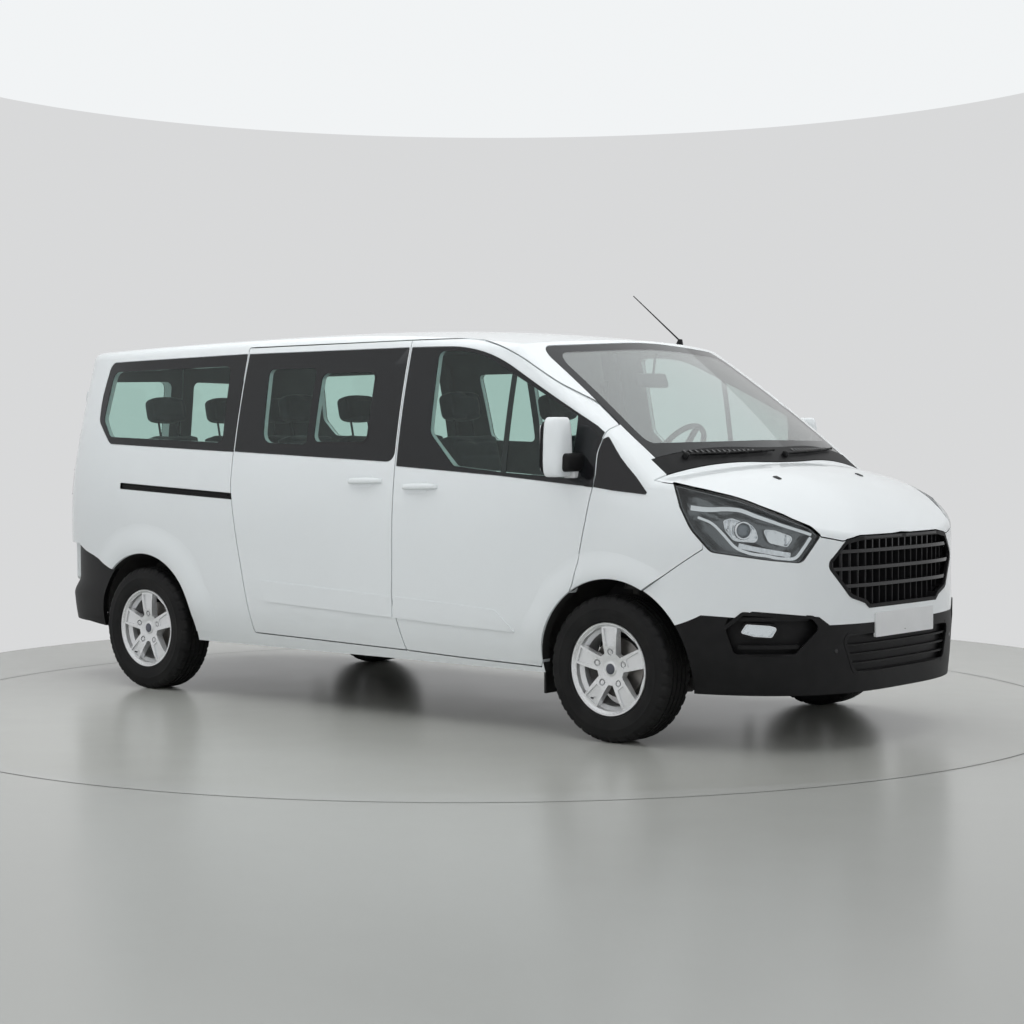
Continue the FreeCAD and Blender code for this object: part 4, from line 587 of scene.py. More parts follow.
B_PILLAR_X = 304.0
FRONT_DOOR = [
    (B_PILLAR_X, 1908), (864, 1908, 1250), (1617, 1495, 60), (1568, 1345, 120), (1585, 1215, 140), (1551, 1050, 300),
    (1478, 740, 60), (1250, 326), (745, 336, 2000), (373, 348, 20), (298, 600, 300), (B_PILLAR_X, 1100, 400),
]
FRONT_CLEAR = [
    (505, 1846, 30), (774, 1842, 1100), (1440, 1520, 20), (1440, 1225, 8), (1000, 1250, 3000), (700, 1276, 40),
    (520, 1440, 60),
]
SLIDING_CLEAR = [
    [(-718, 1780, 30), (-352, 1780, 30), (-352, 1380, 30), (-690, 1390, 60)],
    [(-304, 1752, 40), (87, 1752, 40), (87, 1393, 40), (-304, 1393, 40)],
]
QUARTER_CLEAR = [(-2055, 1793, 50), (-1030, 1804, 40), (-1010, 1389, 40), (-2000, 1420, 50), (-2084, 1520, 60)]
SCREEN_CLEAR = [
    (0, 1862, 4000), (690, 1826, 90), (752, 1450, 900), (752, 1388, 60), (0, 1398, 3000), (-752, 1388, 60),
    (-752, 1450, 900), (-690, 1826, 90),
]
REAR_CLEAR = [(-600, 1745, 50), (-90, 1755, 40), (-90, 1335, 40), (-650, 1325, 50)]
HEADLAMP = [
    (945, 1209, 6), (1239, 1141, 900), (1549, 1013, 60), (1596, 972, 14), (1508, 852, 40), (1364, 866, 300),
    (1100, 902, 50), (1014, 1001, 200), (970, 1100, 60),
]


# Booleans on copies of the solids' meshes

GLASS_REACH = (-1300, -500)
ARCH_REACH = (-1400, -600)
SCREEN_REACH = (900, 2300)
REAR_REACH = (-2900, -2200)


def prism(outline, reach, left=False):
    """A column across the right or left side: its outline in mm and how far out it goes."""
    bm = bmesh.new()
    skin(bm, [[Vector((p.x, -out if left else out, p.y)) * MM for p in outline] for out in reach])
    return mesh_of(bm, "tool")


def end_prism(outline, reach):
    """A column along the body."""
    bm = bmesh.new()
    skin(bm, [[Vector((out, p.x, p.y)) * MM for p in outline] for out in reach])
    return mesh_of(bm, "tool")


def joined(meshes):
    bm = bmesh.new()
    for mesh in meshes:
        bm.from_mesh(mesh)
    return mesh_of(bm, "joined")


def evaluated(item):
    return bpy.data.meshes.new_from_object(item.evaluated_get(bpy.context.evaluated_depsgraph_get()))


def carved(mesh, tool, operation):
    """A new mesh: the first with the tool's shape kept (INTERSECT) or taken away (DIFFERENCE)."""
    base = bpy.data.objects.new("base", mesh)
    other = bpy.data.objects.new("other", tool)
    for item in (base, other):
        scene.collection.objects.link(item)
    change = base.modifiers.new("carve", "BOOLEAN")
    change.object = other
    change.operation = operation
    change.solver = "EXACT"
    result = evaluated(base)
    for item in (base, other):
        bpy.data.objects.remove(item)
    return result


def clean_copy(name):
    """A copy of a node's mesh with its seams closed."""
    bm = bmesh.new()
    bm.from_mesh(nodes[name].data)
    bmesh.ops.remove_doubles(bm, verts=bm.verts[:], dist=1e-5)
    mesh = mesh_of(bm, name)
    mesh.materials.clear()
    return mesh


def split_pane(name, tools, glass=window_glass):
    """A pane as clear glass inside its outlines and a black printed border outside them."""
    tool = joined(tools)
    body = next(body for body, members in frame["record"]["behaviour"]["bodies"].items() if name in members)
    panes = []
    for part, operation, material in (("clear", "INTERSECT", glass), ("border", "DIFFERENCE", glass_border)):
        mesh = carved(clean_copy(name), tool, operation)
        panes.append(add_object(mesh, f"{name}_{part}", material, body, "tinted_glass", 28))
    for pane in panes:
        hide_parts(name)


def add_glass():
    for side, left in (("right", False), ("left", True)):
        split_pane(f"front_door_glass_{side}", [prism(rounded(FRONT_CLEAR), GLASS_REACH, left)])
        rear = rounded([(-u, w, r) for u, w, r in REAR_CLEAR] if left else REAR_CLEAR)
        split_pane(f"rear_door_glass_{side}", [end_prism(rear, REAR_REACH)])
    split_pane("side_glass", [prism(rounded(outline), GLASS_REACH, left)
                              for outline in SLIDING_CLEAR + [QUARTER_CLEAR] for left in (False, True)])
    split_pane("windscreen", [end_prism(rounded(SCREEN_CLEAR), SCREEN_REACH)], screen_glass)


# Faces of the solids that have a finish of their own

ARCH_RADIUS = 0.422
NET_DEPTH = 0.027


def paint_faces(name, material, test):
    """Gives a second finish to the faces whose middle and normal pass the test."""
    item = nodes[name]
    index = len(item.data.materials)
    item.data.materials.append(material)
    for face in item.data.polygons:
        if test(face.center, face.normal):
            face.material_index = index


def faces_arch(middle, normal):
    for x in (FRONT_AXLE_X + 0.028, REAR_AXLE_X):
        outwards = Vector((middle.x - x, 0.0, middle.z - TYRE_RADIUS))
        if abs(outwards.length - ARCH_RADIUS) < 0.004 and normal.dot(outwards) < -0.3:
            return True
    return False


def faces_in(middle, normal):
    return normal.y * middle.y < -0.25 * abs(middle.y) and abs(middle.y) > 0.3


def finish_nodes():
    for side in SIDES:
        for name in (f"side_panel_{side}", f"front_door_{side}"):
            paint_faces(name, trim_grey, faces_in)
            paint_faces(name, arch_black, faces_arch)
        paint_faces(f"rear_door_{side}", trim_grey, lambda middle, normal: normal.x > 0.4)
    nose = laid_on("nose")

    def faces_deep(middle, normal):
        return nose(middle.y / MM, middle.z / MM, 0).x - middle.x > NET_DEPTH

    for name, material, test in (
            ("sliding_door", trim_grey, faces_in),
            ("grille", net_black, faces_deep),
            ("roof", headliner, lambda middle, normal: normal.z < -0.3),
            ("wings", arch_black, faces_arch),
            ("wings", arch_black, faces_in),
            ("bonnet", underseal, lambda middle, normal: normal.z < -0.2),
            ("bumper_skin", arch_black, lambda middle, normal: normal.x < -0.5)):
        paint_faces(name, material, test)


# Wheels

# Half of the tyre's section, (radius, distance from its middle) in mm, from the bead to the tread's edge
TYRE_PROFILE = [
    (206, 78), (216, 84.5), (221, 92), (225, 96.5), (229, 98.5), (232, 97.5), (236, 99), (248, 102.5), (262, 104.5),
    (279, 105.5), (281, 106.3), (284, 106.3), (286, 105.5), (298, 104.8), (310, 102.5), (316, 102),
    (320, 100), (325, 97.2), (331, 93), (336, 88.5), (340, 82), (342, 74), (342.6, 66),
]
TREAD_RADIUS = 342.9
TREAD_GROOVES = (48.0, 16.0)
GROOVE_HALF = 4.5
GROOVE_FOOT = 335.5
TREAD_STEPS = 288
VALVE_ANGLE = math.radians(54)


def tread_cut(k, radius, along):
    """How deep the tread is cut at a step round the tyre: shoulder slots, sipes and ribs."""
    if k % 8 in (0, 1) and abs(along) > 64 and radius > 318:
        return 5.0
    if (k + (3 if along > 0 else 7)) % 12 == 0 and abs(along) < 64 and radius > 340:
        return 3.0
    return 1.2 if k % 8 in (4, 5) and 72 < abs(along) < 106 and 322 < radius < 338 else 0.0


def add_tyre(label, matrix):
    profile = list(TYRE_PROFILE)
    for groove in TREAD_GROOVES:
        low, high = groove - GROOVE_HALF, groove + GROOVE_HALF
        profile += [(TREAD_RADIUS, high), (GROOVE_FOOT, high - 1), (GROOVE_FOOT, low + 1), (TREAD_RADIUS, low)]
    profile += [(radius, -along) for radius, along in reversed(profile)]
    profile += [(206, -40), (206, 40)]
    rings = []
    for k, angle in enumerate(circle(TREAD_STEPS)):
        ring = []
        for radius, along in profile:
            size = (radius - tread_cut(k, radius, along)) * MM
            ring.append(matrix @ Vector((size * math.cos(angle), size * math.sin(angle), along * MM)))
        rings.append(ring)
    item = piece(f"tyre_tread_{label}", tyre_rubber, f"wheel_{label}", "tyre", shell(rings, closed=True), sharp=24)
    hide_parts(f"tyre_{label}")


def add_wheel_trim(label, matrix):
    """The centre cap, the rim's bright edge and the valve."""
    body = f"wheel_{label}"
    cap = [(0.0, 0.0768), (0.018, 0.0764), (0.0245, 0.0752), (0.0262, 0.0735), (0.0262, 0.0700), (0.0, 0.0700)]
    piece(f"centre_cap_{label}", cap_dark, body, "gloss_black", turned(cap, matrix, 40))
    edge = [(0.2025, 0.0845), (0.2120, 0.0925), (0.2165, 0.0932), (0.2175, 0.0922), (0.2168, 0.0905), (0.2100, 0.0850)]
    piece(f"rim_edge_{label}", alloy_bright, body, "alloy", turned(edge, matrix, 96, closed=True))
    foot, tip = (Vector((radius * math.cos(VALVE_ANGLE), radius * math.sin(VALVE_ANGLE), along))
                 for radius, along in ((0.183, 0.060), (0.172, 0.090)))
    line = [matrix @ foot, matrix @ foot.lerp(tip, 0.6), matrix @ tip]
    piece(f"valve_{label}", tyre_rubber, body, "tyre", tube(line, lambda share: 0.0045 - 0.001 * share))


def add_wheels():
    for label in ("front_right", "front_left", "rear_right", "rear_left"):
        end, hand = label.split("_")
        axle_x = FRONT_AXLE_X if end == "front" else REAR_AXLE_X
        turn = Matrix.Rotation(math.pi if hand == "left" else 0.0, 4, "Z") @ Matrix.Rotation(math.pi / 2, 4, "X")
        turn = turn @ Matrix.Rotation(math.pi, 4, "Z")
        matrix = Matrix.Translation((axle_x, SIDES[hand] * TRACK_Y[end], TYRE_RADIUS)) @ turn
        add_tyre(label, matrix)
        add_wheel_trim(label, matrix)

        def on_disc(middle, normal, x=axle_x, track=TRACK_Y[end]):
            radius = math.hypot(middle.x - x, middle.z - TYRE_RADIUS)
            return -0.022 < abs(middle.y) - track < 0.012 and 0.055 < radius < 0.143

        paint_faces(f"rim_{label}", disc_steel, on_disc)


# Front: headlamps, fog lamps, plate, intake and small pieces

LAMP_STRIP_UPPER = [(1010, 1108), (1060, 1102), (1110, 1101), (1156, 1104), (1231, 1098), (1306, 1069), (1375, 1044),
                    (1442, 1019), (1565, 978)]
LAMP_STRIP_END = [(1562, 966), (1527, 919), (1489, 877), (1441, 873), (1400, 877), (1351, 887), (1300, 893),
                  (1260, 902), (1206, 926), (1153, 982), (1101, 1036), (1040, 1064)]
LAMP_BOWL = [(1152, 1050, 10), (1189, 1064, 30), (1243, 1044, 30), (1280, 1030, 20), (1302, 1004, 40),
             (1318, 944, 30), (1200, 952, 40), (1160, 1000, 40)]
LAMP_SECOND = [(1332, 1008, 12), (1392, 1000, 10), (1482, 968, 16), (1452, 924, 20), (1362, 944, 30)]
LAMP_BAND = [(1222, 932), (1300, 916), (1380, 902), (1468, 888)]
BEZEL = [(0.030, 0.0), (0.041, 0.0), (0.043, 0.014), (0.040, 0.020), (0.034, 0.0205), (0.031, 0.014)]
PROJECTOR_PLACE = (1236, 1000, -52)
PROJECTOR_RADIUS = 0.031
LAMP_DEPTH = 105.0


def projector_frame(place, left):
    """A matrix at the projector, whose Z points ahead and a little out of the body."""
    u, w, lift = PROJECTOR_PLACE
    spot = place(u, w, lift)
    out = (place(u, w, lift + 10) - spot).normalized()
    aim = Vector((0.94, 0.34 if left else -0.34, 0.0)).lerp(out, 0.35).normalized()
    return Matrix.Translation(spot) @ aim.to_track_quat("Z", "Y").to_matrix().to_4x4()


def add_headlamp(side, place, left):
    inner = rounded(HEADLAMP, -5)
    piece(f"headlamp_wall_{side}", lamp_grey, "root", "gloss_black",
          ring_wall(inner, place, -17, -LAMP_DEPTH, 3), sharp=40)
    piece(f"headlamp_back_{side}", lamp_grey, "root", "gloss_black",
          laid(inner, place, 4 - LAMP_DEPTH, LAMP_DEPTH + 3, cell=45, rise=lambda u, w: 16 * math.sin(u / 16) ** 2))
    for name, points, widths in (("upper", LAMP_STRIP_UPPER, (24, 13)), ("lower", LAMP_STRIP_END, (15, 12))):
        piece(f"headlamp_strip_{name}_{side}", lamp_chrome, "root", "clear_lamp",
              laid(band(points, *widths), place, -24, 34, bevel=3))
    piece(f"headlamp_led_band_{side}", lamp_led, "root", "clear_lamp",
          laid(band(LAMP_BAND, 22, 22), place, -30, 44, bevel=2, cell=12, rise=lambda u, w: 3 * math.sin(u / 3.4)))
    bowls = []
    for outline, depth in ((rounded(LAMP_BOWL), 62), (rounded(LAMP_SECOND), 58)):
        bowls += [ring_wall(outline, place, -30, -depth - 10, 3),
                  laid(outline, place, -depth, depth + 4, cell=18, rise=lambda u, w: 9 * math.cos(u / 9) ** 2)]
    piece(f"headlamp_reflectors_{side}", lamp_chrome, "root", "clear_lamp", *bowls, sharp=50)
    matrix = projector_frame(place, left)
    piece(f"headlamp_bezel_{side}", lamp_chrome, "root", "clear_lamp", turned(BEZEL, matrix, closed=True))
    dome = [(PROJECTOR_RADIUS * math.sin(a), 0.004 + 0.021 * math.cos(a))
            for a in (math.pi / 2 * k / 10 for k in range(11))]
    piece(f"headlamp_projector_{side}", lamp_projector, "root", "clear_lamp",
          turned(dome + [(PROJECTOR_RADIUS, 0.0), (0.0, 0.0)], matrix))


FOG_LAMP = [(1230, 541, 8), (1256, 581, 12), (1366, 574, 10), (1404, 564, 12), (1376, 520, 14), (1293, 525, 30)]
FOG_EDGE = [(1157, 560, 20), (1242, 631, 20), (1560, 611, 30), (1600, 560, 30), (1480, 440, 30), (1200, 440, 30)]
FOG_LIP = 8


def add_fog_lamp(side, place, left):
    outline = rounded(FOG_LAMP)
    piece(f"fog_lamp_surround_{side}", dark_plastic, "root", "dark_plastic",
          ring_wall(grown(outline, 9), place, -22, -50, 7))
    piece(f"fog_lamp_reflector_{side}", lamp_chrome, "root", "clear_lamp",
          laid(outline, place, -46, 52, cell=14, rise=lambda u, w: 5 * math.sin(u / 7) * math.sin(w / 7)),
          ring_wall(outline, place, -26, -48, 3))
    piece(f"fog_lamp_lens_{side}", lamp_glass, "root", "clear_lamp",
          laid(grown(outline, -1), place, -22, 26, bevel=4, cell=30))
    piece(f"fog_recess_lip_{side}", dark_plastic, "root", "dark_plastic",
          ring_wall(grown(rounded(FOG_EDGE), FOG_LIP), place, 4, -6, FOG_LIP + 8))


PLATE_X = 2.6652
SENSOR = [(0.0, 0.0020), (0.009, 0.0018), (0.0105, 0.0005), (0.0105, -0.004), (0.0, -0.004)]
SENSORS = ((-509, 453), (509, 453))
JET_Y = 361


def add_front_details():
    piece("number_plate_front", plate_white, "root", "body_paint",
          laid(oblong(-260, 260, 500, 612, 5), lambda u, w, lift: Vector((PLATE_X + lift * MM, u * MM, w * MM)), 0, 12,
               cell=130))
    nose, bonnet = laid_on("nose"), laid_on("bonnet")
    piece("parking_sensors_front", gloss_black, "root", "gloss_black",
          *(turned(SENSOR, facing_out(nose, y, z), 28) for y, z in SENSORS))
    piece("washer_jets", dark_plastic, "bonnet_body", "dark_plastic",
          *(laid([(2178, y - 17, 5), (2212, y - 13, 5), (2212, y + 13, 5), (2178, y + 17, 5)], bonnet, 5, 2, bevel=4,
                 cell=20) for y in (-JET_Y, JET_Y)))


# Sides: rub strips, handles, arch edges, sail triangles, rail

RUB_STRIP = [(-718, 659, 14), (306, 618, 900), (745, 600, 900), (988, 585, 60), (1110, 487, 10), (1104, 484, 8),
             (745, 493, 900), (330, 509, 900), (-627, 545, 14)]


def clipped(outline, low, high):
    """The part of an outline between two values of u."""
    kept = []
    for here, after in zip(outline, outline[1:] + outline[:1]):
        if low <= here.x <= high:
            kept.append(here)
        for edge in sorted((low, high), key=lambda edge: abs(edge - here.x)):
            if (here.x - edge) * (after.x - edge) < 0:
                kept.append(here.lerp(after, (edge - here.x) / (after.x - here.x)))
    return kept


def add_rub_strips(side, place, left):
    for name, low, high, body in (("front", B_PILLAR_X + 5, 1200, f"front_door_{side}_body"),
                                  ("rear", -800, B_PILLAR_X - 5, "root")):
        piece(f"rub_strip_{name}_{side}", paint, body, "body_paint",
              laid(clipped(rounded(RUB_STRIP), low, high), place, 9, 1, bevel=14, drop=8.5, cell=90), sharp=50)


HANDLES = {"front": (367, 611, 1137, 1204), "sliding": (-17, 227, 1160, 1228)}
LOCK = [(0.0, 0.0030), (0.008, 0.0028), (0.0105, 0.0015), (0.011, 0.0), (0.011, -0.003), (0.0, -0.003)]
GRIP_STEPS = 24
GRIP_LEAN = 6


def grip(place, u_low, u_high, w):
    """A pull handle: a rounded bar that stands off the skin between two feet."""
    rings = []
    for share in (k / GRIP_STEPS for k in range(GRIP_STEPS + 1)):
        u = u_low + (u_high - u_low) * share
        stand = 12 + 24 * math.sin(math.pi * share) ** 0.5 if 0 < share < 1 else 6
        half = 15 - 5 * abs(2 * share - 1) ** 3
        thick = 7.5 - 2.5 * abs(2 * share - 1) ** 2
        rings.append([place(u, w + GRIP_LEAN * (share - 0.5) + half * math.cos(a), stand + thick * math.sin(a) - 6)
                      for a in circle(12)])
    return shell(rings)


def add_handles(side, place, left):
    for name, (low, high, bottom, top) in HANDLES.items():
        body = f"front_door_{side}_body" if name == "front" else "root"
        middle = (bottom + top) / 2
        piece(f"{name}_door_handle_{side}", paint, body, "body_paint", grip(place, low + 6, high - 6, middle),
              laid([(low + 20, bottom, 24), (high - 70, bottom + 2, 24), (high - 70, top + 4, 24),
                    (low + 20, top + 2, 24)], place, 3.0, 0.5, bevel=5, drop=2.5, cell=40), sharp=45)
        if name == "front":
            piece(f"door_lock_{side}", alloy_bright, body, "alloy",
                  turned(LOCK, facing_out(place, high - 32, middle + 2, 2.2, 12), 28))


# Each arch's centre, inner and outer radius, and bulge
ARCHES = {"front": (1688.0, 422.0, 560.0, 15.0), "rear": (-1640.0, 422.0, 600.0, 18.0)}
ARCH_CENTRE_Z = 343
ARCH_FOOT_Z = 352
ARCH_STEPS = 72
ARCH_ROWS = 9
BUMPER_EDGE = [(2176, 917), (1840, 698), (1700, 500), (1700, 200), (2700, 200), (2700, 917)]
REAR_BUMPER_EDGE = [(-3000, 200), (-1500, 200), (-1500, 655), (-1901, 661), (-2060, 722), (-2194, 759), (-2290, 800),
                    (-3000, 800)]


def arch_ring(place, centre_x, inner, outer, bulge):
    """A soft raised ring round a wheel arch: full at the arch's edge, fading out towards its outer edge."""
    bm = bmesh.new()
    start = math.asin((ARCH_FOOT_Z - ARCH_CENTRE_Z) / inner)
    layers = ([], [])
    for layer in layers:
        for k in range(ARCH_STEPS + 1):
            angle = start + (math.pi - 2 * start) * k / ARCH_STEPS
            fade = ease(0.0, 0.10, min(k, ARCH_STEPS - k) / ARCH_STEPS)
            row = []
            for share in (j / ARCH_ROWS for j in range(ARCH_ROWS + 1)):
                radius = inner + 0.4 + (outer - inner) * share
                rise = bulge * (1 - ease(0.25, 1.0, share)) * (0.35 + 0.65 * fade)
                rise *= 0.75 + 0.25 * ease(0, 0.12, share)
                lift = max(rise, 0.15) if layer is layers[0] else -2.0
                z = max(ARCH_CENTRE_Z + radius * math.sin(angle), ARCH_FOOT_Z - 8)
                row.append(bm.verts.new(place(centre_x + radius * math.cos(angle), z, lift)))
            layer.append(row)
    top, under = layers
    for k in range(ARCH_STEPS):
        for j in range(ARCH_ROWS):
            bm.faces.new((top[k][j], top[k + 1][j], top[k + 1][j + 1], top[k][j + 1]))
            bm.faces.new((under[k][j], under[k][j + 1], under[k + 1][j + 1], under[k + 1][j]))
        for j in (0, ARCH_ROWS):
            bm.faces.new((top[k][j], under[k][j], under[k + 1][j], top[k + 1][j]))
    for k in (0, ARCH_STEPS):
        for j in range(ARCH_ROWS):
            bm.faces.new((top[k][j], top[k][j + 1], under[k][j + 1], under[k][j]))
    bmesh.ops.recalc_face_normals(bm, faces=bm.faces[:])
    return mesh_of(bm, "arch")


def add_arches(side, place, left):
    def cutter(outline, grow=0.0):
        return prism(rounded(outline, grow), ARCH_REACH, left)

    front = arch_ring(place, *ARCHES["front"])
    on_wing = carved(carved(front, cutter(FRONT_DOOR, 7.0), "DIFFERENCE"), cutter(BUMPER_EDGE), "DIFFERENCE")
    on_panel = carved(arch_ring(place, *ARCHES["rear"]), cutter(REAR_BUMPER_EDGE), "DIFFERENCE")
    for name, mesh, body in (("door", carved(front, cutter(FRONT_DOOR, 1.0), "INTERSECT"), f"front_door_{side}_body"),
                             ("wing", on_wing, "root"), ("rear", on_panel, "root")):
        add_object(mesh, f"arch_ring_{name}_{side}", paint, body, "body_paint", 40)


SAIL = [(1585, 1186, 2), (1691, 1172), (1874, 1156, 4), (1879, 1166, 4), (1807, 1236, 200), (1706, 1319, 600),
        (1622, 1420, 8), (1595, 1408, 4), (1577, 1345, 120), (1588, 1240, 60)]
DOOR_SAIL = [(1528, 1190, 3), (1579, 1184, 3), (1580, 1240, 60), (1569, 1345, 120), (1592, 1425, 8), (1540, 1400, 30)]
RAIL_INSERT = [(-1853, 1159, 7), (-906, 1116, 2), (-906, 1084, 2), (-1853, 1126, 7)]
RAIL_END_X = -906
RAIL_SLOPE = -0.0452


def add_side_trim(side, place, left):
    piece(f"sail_trim_{side}", gloss_black, "root", "gloss_black",
          laid(SAIL, place, 4.5, 1.0, bevel=3, drop=4.0, cell=30))
    piece(f"door_sail_{side}", gloss_black, f"front_door_{side}_body", "gloss_black",
          laid(DOOR_SAIL, place, 3.5, 1.0, bevel=5, drop=3.0, cell=30))
    if not left:
        line = [place(u, 1103 + (u - RAIL_END_X) * RAIL_SLOPE, -8) for u in range(-1840, -910, 60)]
        piece("sliding_rail_insert", dark_plastic, "root", "dark_plastic",
              laid(RAIL_INSERT, place, -12, 17.5, cell=120), ring_wall(rounded(RAIL_INSERT), place, -1.0, -17.5, 3),
              tube(line, 0.0035, 8))


# Rear: plate, handle, hinges, lamps

HINGE_HEIGHTS = (700, 1180, 1660)
HIGH_LAMP = [(-2400, -150, 16), (-2400, 150, 16), (-2366, 130, 10), (-2366, -130, 10)]
TAIL_LAMP_DIVIDERS = (1085, 1225, 1430)


def add_rear_details():
    tail = laid_on("tail")
    right, left = "rear_door_right_body", "rear_door_left_body"
    piece("rear_handle_base", paint, right, "body_paint",
          laid(oblong(-300, -40, 1000, 1130, 30), tail, 4, 1, bevel=6, drop=4), sharp=50)
    piece("rear_door_handle", dark_plastic, right, "dark_plastic",
          laid(oblong(-262, -78, 1034, 1096, 14), tail, 14, -2, bevel=7, cell=50))
    piece("rear_plate_panel", dark_plastic, left, "dark_plastic",
          laid(oblong(70, 610, 780, 905, 12), tail, 2.5, 1, bevel=3, drop=2, cell=120))
    piece("number_plate_rear", plate_white, left, "body_paint",
          laid(oblong(80, 600, 786, 898, 6), tail, 5.0, -2.4, bevel=1, cell=120))
    piece("plate_lamps", dark_plastic, left, "dark_plastic",
          *(laid(oblong(u, u + 120, 912, 930, 6), tail, 14, 0, bevel=4) for u in (150, 390)))
    for side, sign in SIDES.items():
        piece(f"rear_hinges_{side}", paint, f"rear_door_{side}_body", "body_paint",
              *(laid([(sign * 700, w - 34, 8), (sign * 700, w + 34, 8), (sign * 752, w + 30, 8),
                      (sign * 752, w - 30, 8)], tail, 9, 0, bevel=5) for w in HINGE_HEIGHTS), sharp=50)
    piece("high_brake_lamp", red_lens, "root", "red_lamp", laid(HIGH_LAMP, laid_on("roof"), 9, 1, bevel=6))


def add_tail_lamp(side, place, left):
    """The lens's dividers and its clear reversing panel."""
    piece(f"tail_lamp_dividers_{side}", gloss_black, "root", "gloss_black",
          *(laid(oblong(-2520, -2438, w - 3, w + 3), place, 1.2, 1, cell=30) for w in TAIL_LAMP_DIVIDERS))
    piece(f"tail_lamp_clear_{side}", clear_lens, "root", "clear_lamp",
          laid([(-2512, 1095, 6), (-2512, 1217, 6), (-2444, 1217, 6), (-2441, 1095, 6)], place, 1.3, 1, bevel=3,
               drop=1.1, cell=40))


# Mirrors and wipers

MIRROR_STEPS = 20
MIRROR_RIM = [(-82, -122, 44), (82, -122, 44), (70, 122, 50), (-70, 122, 50)]


def mirror_case(base):
    """A soft-cornered case that narrows upwards, flat at its back."""
    rings = []
    for t in (-math.cos(math.pi * k / MIRROR_STEPS) for k in range(MIRROR_STEPS + 1)):
        full = max(1 - abs(t) ** 3.4, 0.0) ** 0.32
        narrow = 1 - 0.09 * (t + 1)
        ring = []
        for c, s in ((math.cos(a), math.sin(a)) for a in circle(48)):
            x = 0.050 * (0.55 + 0.45 * full) * math.copysign(abs(c) ** 0.72, c)
            y = 0.091 * narrow * (0.62 + 0.38 * full) * math.copysign(abs(s) ** 0.58, s)
            ring.append(base @ Vector((max(x, -0.044), y, 0.139 * t)))
        rings.append(ring)
    return shell(rings)


def add_mirror(side, place, left):
    sign = SIDES[side]
    base = Matrix.Translation((1.432, sign * 1.046, 1.372)) @ Matrix.Rotation(math.radians(-8 * sign), 4, "Z")

    def on_back(u, w, lift):
        return base @ (Vector((-44 - lift, u, w)) * MM)

    for name, material, slot, steps, sharp in (
            ("case", paint, "body_paint", [mirror_case(base)], 60),
            ("glass", mirror_silver, "gloss_black",
             [block((0.004, 0.128, 0.138), base @ at(-0.0450, sign * 0.002, 0.036), 0.012),
              block((0.004, 0.136, 0.064), base @ at(-0.0450, sign * 0.002, -0.076), 0.010)], 35),
            ("rim", dark_plastic, "dark_plastic", [ring_wall(rounded(MIRROR_RIM), on_back, 5, -10, 9)], 35),
            ("arm", dark_plastic, "dark_plastic",
             [block((0.112, 0.200, 0.086), at(1.452, sign * 0.975, 1.300), 0.024, 4),
              block((0.116, 0.026, 0.110), at(1.446, sign * 0.893, 1.290), 0.012, 3)], 35),
            ("indicator", clear_lens, "clear_lamp",
             [block((0.070, 0.056, 0.040), at(1.452, sign * 0.962, 1.246), 0.010, 3)], 35)):
        item = piece(f"mirror_{name}_{side}", material, f"front_door_{side}_body", slot, *steps, sharp=sharp)
        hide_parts(f"mirror_{side}")


# Each wiper's pivot and tip, as y in mm
WIPERS = ((40, 640), (-640, -40))
WIPER_PIVOT_Z = 1326
WIPER_RISE = 15
PIVOT_CAP = [(0.0, 0.020), (0.008, 0.0195), (0.014, 0.016), (0.016, 0.008), (0.016, -0.004), (0.0, -0.004)]
COWL_VENT_Z = 1348


def off_screen(y, z, out, up=0.0):
    """A place that stands off the windscreen, in metres."""
    return Vector((screen_x(y, z) + out, y, z + up)) * MM


def add_wiper_blades():
    blades = []
    for pivot, tip in WIPERS:
        direction = 1 if tip > pivot else -1

        def height(y):
            return WIPER_PIVOT_Z + WIPER_RISE * (y - pivot) / (tip - pivot)

        line = [off_screen(y, height(y) + 6, 4.5, 2.5) for y in (pivot + direction * (40 + 45 * k) for k in range(13))]
        blades.append(tube(line, lambda share: 0.0030 + 0.0022 * math.sin(math.pi * share), 8))
        for y in (pivot + direction * (120 + 130 * k) for k in range(1, 4)):
            blades.append(block((0.012, 0.030, 0.009), Matrix.Translation(off_screen(y, height(y), 13, 9)), 0.002))
    piece("wiper_blades", flap_rubber, "root", "dark_plastic", *blades)
    piece("wiper_pivots", dark_plastic, "root", "dark_plastic",
          *(turned(PIVOT_CAP, at(*off_screen(pivot, WIPER_PIVOT_Z, 6, 1), 35), 24) for pivot, _ in WIPERS))
    piece("cowl_vents", gloss_black, "root", "dark_plastic",
          *(block((0.004, 0.018, 0.022), at(*off_screen(hand * (170 + 34 * k), COWL_VENT_Z, 1.2), -55), 0.001)
            for hand in (-1, 1) for k in range(14)))


GRILLE_EDGE = [(0, 964, 2500), (345, 964, 60), (449, 948, 40), (561, 842, 40), (427, 690, 60), (330, 660, 20),
               (300, 636, 10), (-300, 636, 10), (-330, 660, 20), (-427, 690, 60), (-561, 842, 40), (-449, 948, 40),
               (-345, 964, 60)]
LOWER_GRILLE_EDGE = [(470, 520, 30), (400, 350, 40), (-400, 350, 40), (-470, 520, 30)]


def add_nose_frames():
    """Satin frames round the grille and the air intake, and ledges in the fog lamp recesses."""
    nose = laid_on("nose")
    piece("nose_frames", dark_plastic, "root", "dark_plastic", ring_wall(rounded(GRILLE_EDGE), nose, 3, -14, 17),
          ring_wall(grown(rounded(LOWER_GRILLE_EDGE), 12), nose, 2, -6, 16), sharp=50)

    def ledges(side, place, left):
        piece(f"fog_recess_ledges_{side}", dark_plastic, "root", "dark_plastic",
              *(laid(oblong(low, high, w - 9, w + 9, 4), place, -12, 30, bevel=4)
                for w, low, high in ((604, 1200, 1545), (478, 1222, 1500))))

    both_sides(ledges, "corner")


